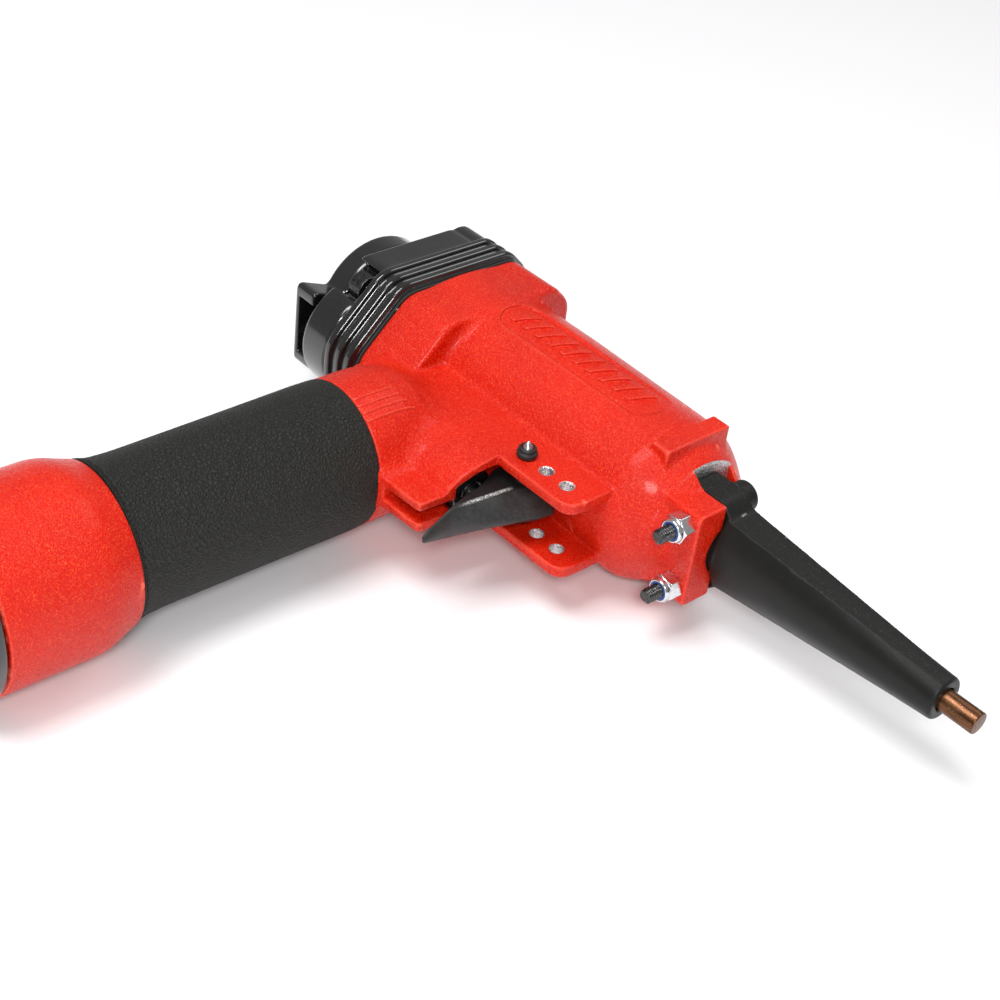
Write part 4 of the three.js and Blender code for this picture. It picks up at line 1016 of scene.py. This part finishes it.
class Finish:
    """A node material, written as calls that return sockets. Places are in millimetres."""

    def __init__(self, name, metal=0.0, rough=0.5, **constants):
        self.material = bpy.data.materials.new(name)
        self.material.use_nodes = True
        self.tree = self.material.node_tree
        self.shader = self.tree.nodes["Principled BSDF"]
        self.shader.inputs["Metallic"].default_value = metal
        self.shader.inputs["Roughness"].default_value = rough
        for socket, value in constants.items():
            self.shader.inputs[socket.replace("_", " ")].default_value = value
        coordinates = self.add("ShaderNodeTexCoord")
        self.place = self.vector("MULTIPLY", coordinates.outputs["Object"], (1 / MM,) * 3)
        in_tool = self.vector("SUBTRACT", self.place, tuple(ORIGIN / MM))
        self.x, self.y, self.z = self.add("ShaderNodeSeparateXYZ", Vector=in_tool).outputs

    def feed(self, socket, value):
        if isinstance(value, bpy.types.NodeSocket):
            self.tree.links.new(value, socket)
        else:
            socket.default_value = value

    def add(self, kind, settings=None, **inputs):
        """A new node, whose inputs are named by their labels or by their order, as _0, _1, _2."""
        node = self.tree.nodes.new(kind)
        for key, value in (settings or {}).items():
            setattr(node, key, value)
        for key, value in inputs.items():
            self.feed(node.inputs[int(key[1:]) if key[0] == "_" else key.replace("_", " ")], value)
        return node

    def calc(self, operation, *values):
        inputs = {f"_{i}": value for i, value in enumerate(values)}
        return self.add("ShaderNodeMath", {"operation": operation}, **inputs).outputs["Value"]

    def vector(self, operation, a, b):
        return self.add("ShaderNodeVectorMath", {"operation": operation}, _0=a, _1=b).outputs["Vector"]

    def times(self, product, *others):
        for other in others:
            product = self.calc("MULTIPLY", product, other)
        return product

    def level(self, value, low=0.3, high=0.7, out_low=0.0, out_high=1.0):
        """A value between low and high, spread from out_low to out_high and held there beyond them."""
        return self.add(
            "ShaderNodeMapRange", {"clamp": True}, Value=value, From_Min=low, From_Max=high,
            To_Min=out_low, To_Max=out_high,
        ).outputs["Result"]

    def beyond(self, value, low, high):
        """0 where a value's size is under low, and 1 where it is over high."""
        return self.level(self.calc("ABSOLUTE", value), low, high)

    def noise(self, scale, detail=2.0, roughness=0.5, stretch=None):
        place = self.vector("MULTIPLY", self.place, stretch) if stretch else self.place
        return self.add(
            "ShaderNodeTexNoise", Vector=place, Scale=scale, Detail=detail, Roughness=roughness,
        ).outputs["Fac"]

    def facing(self, axis):
        normal = self.add("ShaderNodeNewGeometry").outputs["Normal"]
        return self.add("ShaderNodeSeparateXYZ", Vector=normal).outputs[axis]

    def edges(self, low, high):
        """1 along outside edges of a finely meshed piece, 0 elsewhere."""
        return self.level(self.add("ShaderNodeNewGeometry").outputs["Pointiness"], low, high)

    def near_axis(self, at_x, at_y, low, high):
        """1 within low of an upright axis, fading to 0 at high."""
        across = self.calc("POWER", self.calc("SUBTRACT", self.x, at_x), 2)
        along = self.calc("POWER", self.calc("SUBTRACT", self.y, at_y), 2)
        return self.level(self.calc("SQRT", self.calc("ADD", across, along)), low, high, 1, 0)

    def mix(self, share, a, b):
        node = self.add("ShaderNodeMix", {"data_type": "RGBA"}, Factor=share)
        for socket, value in ((node.inputs[6], a), (node.inputs[7], b)):
            self.feed(socket, (*value, 1) if isinstance(value, tuple) else value)
        return node.outputs[2]

    def done(self, colour, rough, *layers):
        """The material, bumped by layers of (height, depth in millimetres) with the coarsest first."""
        normal = None
        for height, depth in layers:
            node = self.add("ShaderNodeBump", Height=height, Distance=depth * MM)
            if normal:
                self.feed(node.inputs["Normal"], normal)
            normal = node.outputs["Normal"]
        for name, value in (("Base Color", colour), ("Roughness", rough), ("Normal", normal)):
            if value:
                self.feed(self.shader.inputs[name], value)
        return self.material


def bare_places(finish):
    """Where the casting is machined after painting: the spare ear holes and the nose's seat."""
    first, second = [
        finish.near_axis(PIN_X + EAR_HOLE_PITCH * step, PIN_Y, PIN_HOLE_R, PIN_HOLE_R + 0.12)
        for step in (1, 2)
    ]
    at_seat = finish.calc("COMPARE", finish.x, NOSE_SEAT, 0.3)
    above = finish.beyond(finish.z, 7, 7.3)
    seat = finish.times(at_seat, above, finish.level(finish.facing("X"), 0.6, 0.9))
    return finish.calc("MAXIMUM", seat, finish.calc("MAXIMUM", first, second))


def red_paint():
    """Semi-gloss enamel over a cast surface, with an orange peel, painted glints, painted highlights along
    its edges, and machined metal where it is bare.
    """
    finish = Finish("red_enamel", 0.0, 0.36, Coat_Weight=0.1, Coat_Roughness=0.14, Specular_IOR_Level=0.24)
    base = finish.mix(finish.level(finish.noise(0.05)), (0.57, 0.0055, 0.0003), (0.67, 0.0095, 0.0006))
    # Painted glints: light orange specks in the colour stand in for light glinting off the orange peel.
    painted_glints = finish.level(finish.noise(2.6, 1), 0.54, 0.7, 0, 0.55)
    base = finish.mix(painted_glints, base, (0.96, 0.12, 0.03))
    # Painted highlight: a lighter red along the outside edges stands in for light caught by them.
    base = finish.mix(finish.edges(0.525, 0.6), base, (1.0, 0.13, 0.08))
    bare = bare_places(finish)
    marks = finish.level(finish.noise(1.4, 4, 0.7), 0.35, 0.65)
    machined = finish.mix(marks, (0.45, 0.46, 0.47), (0.9, 0.9, 0.91))
    finish.feed(finish.shader.inputs["Metallic"], finish.level(bare))
    return finish.done(
        finish.mix(bare, base, machined),
        finish.level(finish.noise(0.9, 3), 0.3, 0.7, 0.24, 0.36),
        (finish.noise(0.35), 0.03), (finish.noise(2.3, 2, 0.6), 0.34),
    )


def grip_rubber():
    """Moulded leather grain: irregular pebbles with soft creases between them, and painted shade in the
    creases.
    """
    finish = Finish("grip_rubber", 0.0, 0.55, Specular_IOR_Level=0.35)
    warp = finish.add("ShaderNodeTexNoise", Vector=finish.place, Scale=0.9, Detail=2.0)
    drift = finish.vector("MULTIPLY", warp.outputs["Color"], (0.9,) * 3)
    creases = finish.add(
        "ShaderNodeTexVoronoi", {"feature": "DISTANCE_TO_EDGE"},
        Vector=finish.vector("ADD", finish.place, drift), Scale=1.0,
    ).outputs["Distance"]
    pebbles = finish.level(creases, 0.0, 0.3)
    fine = finish.noise(3.0, 3, 0.6)
    # Painted shade: the colour is darker in the creases between the pebbles, where shade falls.
    tone = finish.mix(pebbles, (0.005, 0.006, 0.0045), (0.014, 0.015, 0.0115))
    return finish.done(
        finish.mix(finish.level(fine, 0.4, 0.8, 0, 0.5), tone, (0.034, 0.034, 0.029)),
        finish.level(fine, 0.3, 0.7, 0.52, 0.74),
        (pebbles, 0.3), (fine, 0.07),
    )


def gloss_black():
    """Polished glass-filled nylon, with faint flow marks and dust."""
    coat = {"Coat_Weight": 0.8, "Coat_Roughness": 0.12, "Specular_IOR_Level": 0.5}
    finish = Finish("gloss_black_plastic", 0.0, 0.16, **coat)
    wave = finish.noise(0.12, 3, 0.6)
    dust = finish.level(finish.noise(4.5, 2, 0.7), 0.66, 0.8)
    base = finish.mix(finish.level(wave), (0.004, 0.0042, 0.004), (0.009, 0.0092, 0.009))
    base = finish.mix(finish.edges(0.54, 0.66), base, (0.03, 0.031, 0.031))
    return finish.done(
        finish.mix(finish.times(dust, 0.25), base, (0.2, 0.2, 0.19)),
        finish.level(finish.noise(0.7, 4, 0.6), 0.3, 0.7, 0.12, 0.26),
        (wave, 0.05), (finish.noise(3.2), 0.004),
    )


def black_steel():
    """Black oxide on steel, with a slight shine and bare metal where edges rub."""
    finish = Finish("black_oxide_steel", 0.95, 0.3)
    grain = finish.noise(1.4, 5, 0.65)
    speckle = finish.noise(3.4, 3, 0.7)
    rubbed = finish.times(finish.edges(0.53, 0.6), finish.level(speckle, 0.42, 0.56))
    dark = finish.mix(finish.level(grain), (0.035, 0.0355, 0.036), (0.11, 0.11, 0.108))
    return finish.done(
        finish.mix(rubbed, dark, (0.5, 0.5, 0.49)),
        finish.level(grain, 0.3, 0.7, 0.16, 0.34),
        (grain, 0.02), (speckle, 0.008),
    )


def lever_crease(finish):
    """1 along the middle of the crease between the lever's flat side and its finger face."""
    slope, crease_x = -0.097, 69.9
    ahead = finish.calc("ADD", finish.x, finish.calc("MULTIPLY_ADD", finish.y, slope, -crease_x))
    across = finish.beyond(finish.z, 4.4, 4.7)
    line = finish.times(finish.level(ahead, -0.7, -0.2), finish.level(ahead, 0.7, 0.2))
    ends = finish.times(finish.level(finish.y, -53, -48), finish.level(finish.y, -36, -38.5))
    return finish.times(across, line, ends)


def trigger_steel():
    """Dull black oxide on pressed steel, with painted shade on its flat sides, worn to bright speckles
    along the crease that are partly a painted highlight.
    """
    finish = Finish("worn_trigger_steel", 0.2, 0.5, Specular_IOR_Level=0.5)
    grain = finish.noise(1.1, 5, 0.7)
    speckle = finish.noise(3.0, 3, 0.75)
    worn = finish.mix(finish.level(grain), (0.014, 0.015, 0.015), (0.036, 0.035, 0.035))
    # Painted shade: the flat sides, past 4.55 mm from the middle, are painted darker than the finger face.
    dark = finish.mix(finish.beyond(finish.z, 4.55, 4.85), worn, (0.008, 0.008, 0.008))
    # Rubbed wear with a painted highlight: the bright speckles along the crease stand in partly for light
    # caught there.
    rubbed = finish.times(lever_crease(finish), finish.level(speckle, 0.42, 0.56))
    return finish.done(
        finish.mix(rubbed, dark, (0.6, 0.6, 0.58)),
        finish.level(grain, 0.3, 0.7, 0.36, 0.56),
        (grain, 0.05), (speckle, 0.02),
    )


def nose_coating():
    """Satin black over a cast surface: sandy on the top and bottom, dressed smooth on the sides; its
    lighter sand specks and edges are partly painted highlight.
    """
    finish = Finish("nose_coating", 0.0, 0.42, Specular_IOR_Level=0.2)
    cast = finish.beyond(finish.facing("Z"), 0.55, 0.8)
    sand = finish.noise(2.0, 3, 0.65)
    soft = finish.noise(0.25, 3)
    tone = finish.mix(soft, (0.0075, 0.0077, 0.0070), (0.0125, 0.0127, 0.0118))
    # Real sandy texture with a painted highlight: the specks are painted lighter on the faces that turn up
    # and down.
    tone = finish.mix(finish.times(cast, finish.level(sand, 0.58, 0.75)), tone, (0.05, 0.051, 0.05))
    # Rubbed wear with a painted highlight: the light line along the edges and the crease stands in partly
    # for light caught there.
    rubbed = finish.times(finish.edges(0.56, 0.64), finish.level(sand, 0.4, 0.55))
    return finish.done(
        finish.mix(rubbed, tone, (0.22, 0.22, 0.22)),
        finish.level(cast, 0, 1, 0.36, 0.5),
        (soft, 0.05), (finish.times(sand, finish.level(cast, 0, 1, 0.12, 1)), 0.07),
    )


def punch_steel():
    """Hardened steel drawn to a copper brown, with lengthwise streaks and bright specks."""
    finish = Finish("punch_steel", 0.9, 0.3)
    streaks = finish.noise(1.3, 4, 0.65, (0.12, 1, 1))
    specks = finish.level(finish.noise(2.6, 3, 0.7), 0.6, 0.72)
    base = finish.mix(finish.level(streaks, 0.35, 0.65), (0.06, 0.02, 0.008), (0.19, 0.085, 0.04))
    return finish.done(
        finish.mix(finish.times(specks, 0.6), base, (0.5, 0.38, 0.28)),
        finish.level(streaks, 0.3, 0.7, 0.22, 0.4),
        (streaks, 0.012),
    )


def grained(name, grain, tones, depth, spread=(0, 1), sheen=None, **constants):
    """A finish with one grain, which varies its colour, its roughness and its height together."""
    finish = Finish(name, **constants)
    noise = finish.noise(*grain)
    rough = finish.level(noise, 0.3, 0.7, *sheen) if sheen else None
    return finish.done(finish.mix(finish.level(noise, *spread), *tones), rough, (noise, depth))


def seal_rubber():
    return grained(
        "seal_rubber", (3, 3, 0.6), ((0.012, 0.012, 0.012), (0.022, 0.022, 0.022)), 0.012,
        sheen=(0.42, 0.6), Specular_IOR_Level=0.4,
    )


def bright_zinc():
    return grained(
        "bright_zinc", (1.6, 4, 0.7), ((0.86, 0.87, 0.89), (0.62, 0.63, 0.66)), 0.03,
        (0.35, 0.7), (0.08, 0.26), metal=1.0,
    )


def blue_nylon():
    tones = ((0.012, 0.05, 0.22), (0.03, 0.10, 0.38))
    return grained("blue_nylon", (2.2, 3, 0.6), tones, 0.02, rough=0.45, Subsurface_Weight=0.05)


def gasket_fibre():
    tones = ((0.012, 0.012, 0.012), (0.035, 0.034, 0.033))
    return grained("gasket_fibre", (2.0, 4, 0.7, (1, 0.2, 1)), tones, 0.03, rough=0.85)


def bare_metal(name, dark, light, sheen, stretch):
    """Machined metal whose tool marks run across the stretched directions."""
    return grained(name, (1.2, 4, 0.6, stretch), (dark, light), 0.01, (0.3, 0.7), sheen, metal=1.0)


# ---- The assembly ----

FINISHES = {
    "red_paint": red_paint(),
    "grip_rubber": grip_rubber(),
    "gloss_black": gloss_black(),
    "seal_rubber": seal_rubber(),
    "black_steel": black_steel(),
    "nose_casting": nose_coating(),
    "zinc_plate": bright_zinc(),
    "steel": bare_metal("satin_steel", (0.42, 0.43, 0.44), (0.62, 0.63, 0.65), (0.2, 0.38), (1, 1, 6)),
    "aluminium": bare_metal(
        "machined_aluminium", (0.58, 0.59, 0.61), (0.76, 0.77, 0.79), (0.24, 0.4), (8, 1, 1),
    ),
    "brass": bare_metal("turned_brass", (0.5, 0.33, 0.1), (0.72, 0.52, 0.2), (0.2, 0.36), (1, 8, 1)),
    "punch_steel": punch_steel(),
    "blue_nylon": blue_nylon(),
    "gasket_paper": gasket_fibre(),
}


def dress(piece, body, slot, *nodes, finish=None):
    """Gives a piece its finish, its body and the CAD nodes that it stands for."""
    piece.data.materials.clear()
    piece.data.materials.append(finish or FINISHES[slot])
    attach(piece, body)
    if nodes:
        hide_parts(*nodes)
    return piece


def fixed(piece, slot, *nodes):
    """A piece that doesn't move."""
    return dress(piece, "housing", slot, *nodes)


def fix_copies(master, slot, copies):
    """Fixed copies of a master as (piece name, node, place, turn), after which the master goes."""
    for name, node, place, turn in copies:
        fixed(copy_of(master, name, place, turn), slot, node)
    bpy.data.objects.remove(master)


def place_o_ring(name, node, axis, radius, section, at=ON_AXIS, body="housing"):
    """A rubber O-ring, halfway along its CAD node."""
    along = middle(node)["xyz".index(axis)]
    dress(o_ring(name, axis, radius, section, along, at), body, "seal_rubber", node)


def place_spring(name, node, radius, wire, turns, at=ON_AXIS):
    """A fixed spring along x that fills the length of its CAD node."""
    low, high = (corner[0] for corner in span(node))
    coil = fixed(spring(name, radius, wire, low, high, turns, at), "steel", node)
    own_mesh(coil)


def place_casting():
    fixed(build_casting(), "red_paint", "body_housing")
    fixed(build_panel(), "red_paint")
    for line in thumb_lines():
        fixed(line, "red_paint")


def place_handle():
    fixed(build_grip(), "grip_rubber", "grip_sleeve")
    fixed(build_end_cap(), "gloss_black", "handle_end_cap")
    fixed(build_inlet(), "brass", "air_inlet")
    fixed(build_filter(), "steel", "inlet_filter")
    place_o_ring("end_cap_seal", "end_cap_o_ring", "y", 12.7, 0.75, IN_HANDLE)
    along_handle = Matrix.Rotation(math.pi / 2, 3, "Z")
    master = build_screw("end_screw_master", 3.5, 4, END_SCREW_R, 15, 3, 0.7)
    fix_copies(master, "black_steel", [
        (f"end_screw_{i}", f"end_cap_screw_{i}", (x, END_SCREW_SEAT, z), along_handle)
        for i, (x, z) in enumerate(END_SCREWS, 1)
    ])


def place_head():
    fixed(build_gasket(), "gasket_paper", "head_gasket")
    fixed(build_cap(), "gloss_black", "head_cap")
    dress(build_deflector(), "deflector", "gloss_black", "exhaust_deflector")
    master = build_screw("cap_screw_master", 4.25, 5, CAP_SCREW_R, 26, 4, 0.8)
    fix_copies(master, "black_steel", [
        (f"head_screw_{i}", f"cap_screw_{i}", (POCKET_FLOOR, y, z), None)
        for i, (y, z) in enumerate(CAP_SCREWS, 1)
    ])
    head_height = 2.3
    seat = (span("deflector_screw")[0][0] + head_height, DEFLECTOR_Y, 0)
    master = build_screw("deflector_screw_master", 4.6, head_height, 2, 9.4, 3, 0.7, 48)
    fix_copies(master, "black_steel", [("hood_screw", "deflector_screw", seat, None)])


def place_head_valve():
    body = "head_valve_body"
    dress(build_head_valve(), body, "aluminium", "head_valve")
    face = ring_piece("valve_seal", "head_valve_seal", "x", 7, 18)
    dress(face, body, "seal_rubber", "head_valve_seal")
    place_o_ring("valve_o_ring", "head_valve_o_ring", "x", 17.8, 0.55, body=body)
    place_spring("valve_return_spring", "head_valve_spring", 10.5, 0.8, 3)


def place_drive():
    fixed(build_sleeve(), "aluminium", "cylinder_sleeve")
    place_o_ring("sleeve_seal", "sleeve_o_ring", "x", 19.4, 0.65)
    fixed(ring_piece("bumper_ring", "bumper", "x", 3.85, 14.7, reach=1.2), "seal_rubber", "bumper")
    dress(build_piston(), "driver", "aluminium", "piston")
    place_o_ring("piston_seal", "piston_o_ring", "x", 13.85, 0.9, body="driver")
    dress(build_punch(), "driver", "punch_steel", "driver_punch")


def place_trigger():
    dress(build_trigger(), "trigger_lever", "black_steel", "trigger", finish=trigger_steel())
    fixed(build_pin(), "steel", "trigger_pin")
    for side, word in SIDES:
        fixed(build_pin_ring(side, f"pin_keeper_{word}"), "seal_rubber", f"trigger_pin_ring_{word}")
    fixed(build_valve(), "gloss_black", "trigger_valve_body")
    dress(build_stem(), "valve_stem", "steel", "trigger_valve_stem")
    for i in (1, 2):
        place_o_ring(f"valve_plug_seal_{i}", f"trigger_valve_o_ring_{i}", "x", 5.5, 0.6, IN_VALVE)
    place_spring("stem_spring", "trigger_valve_spring", 2.6, 0.35, 4, IN_VALVE)


def place_nose():
    """The nose, and the bolts, nuts and inserts that hold it, each pair turned a little."""
    fixed(build_nose(), "nose_casting", "nose_piece")
    bolt, nut, tilt = build_nose_bolt(), build_nut(), 0.35
    for side, word in SIDES:
        z, turn = side * BOLT_Z, Matrix.Rotation(tilt * side, 3, "Y")
        bolt_piece = copy_of(bolt, f"flange_bolt_{word}", (BOLT_X, PLATE_FAR, z), turn)
        fixed(bolt_piece, "black_steel", f"nose_bolt_{word}")
        nut_piece = copy_of(nut, f"lock_nut_{word}", (BOLT_X, FLANGE_NEAR, z), turn)
        fixed(nut_piece, "zinc_plate", f"nose_nut_{word}")
        node = f"nose_nut_insert_{word}"
        insert = ring_piece(f"nut_insert_{word}", node, "y", BOLT_R, INSERT_R, (BOLT_X, 0, z), 0.2)
        fixed(insert, "blue_nylon", node)
    bpy.data.objects.remove(bolt)
    bpy.data.objects.remove(nut)


place_casting()
place_handle()
place_head()
place_head_valve()
place_drive()
place_trigger()
place_nose()


# ---- Floor, light and camera ----

CAMERA_PLACE = Vector((317.08, -297.72, 266.86))
CAMERA_RIGHT = Vector((0.65225, 0.74970, 0.11192))
CAMERA_DOWN = Vector((0.50872, -0.32349, -0.79785))
LENS = 63.27


def make_floor():
    half = 6.0
    mesh = bpy.data.meshes.new("floor")
    corners = [(-half, -half, 0), (half, -half, 0), (half, half, 0), (-half, half, 0)]
    mesh.from_pydata(corners, [], [(0, 1, 2, 3)])
    floor = in_scene("floor", mesh)
    finish = Finish("floor_white", 0.0, 0.6, Specular_IOR_Level=0.3)
    tone = finish.mix(finish.noise(0.01, 3), (0.91, 0.905, 0.92), (0.93, 0.925, 0.935))
    mesh.materials.append(finish.done(tone, None))


def make_light(name, place, target, size, power):
    data = bpy.data.lights.new(name, "AREA")
    data.shape = "RECTANGLE"
    data.size, data.size_y = size
    data.energy = power
    light = in_scene(name, data)
    light.location = place
    light.rotation_euler = (Vector(target) - Vector(place)).to_track_quat("-Z", "Y").to_euler()


def make_world(strength):
    world = bpy.data.worlds.new("studio")
    world.use_nodes = True
    background = world.node_tree.nodes["Background"]
    background.inputs["Color"].default_value = (1, 1, 1, 1)
    background.inputs["Strength"].default_value = strength
    bpy.context.scene.world = world


def make_camera():
    data = bpy.data.cameras.new("camera")
    data.lens = LENS
    data.sensor_width = 36.0
    data.clip_start, data.clip_end = 0.01, 50
    camera = in_scene("camera", data)
    right, up = CAMERA_RIGHT.normalized(), -CAMERA_DOWN.normalized()
    back = right.cross(up)
    place = ORIGIN + CAMERA_PLACE * MM
    camera.matrix_world = Matrix((
        (right.x, up.x, back.x, place.x),
        (right.y, up.y, back.y, place.y),
        (right.z, up.z, back.z, place.z),
        (0, 0, 0, 1),
    ))
    bpy.context.scene.camera = camera


make_floor()
make_world(0.32)
make_light("overhead", (-0.2, -0.45, 1.4), (0, 0, 0), (0.7, 0.7), 16)
make_light("rear", (0.1, 0.95, 1.2), (0, 0.1, 0), (0.9, 0.5), 4.5)
make_light("flash", (0.40, -0.37, 0.48), (0.02, 0, 0), (0.14, 0.14), 2.9)
make_camera()
bpy.context.scene.view_settings.view_transform = "Standard"
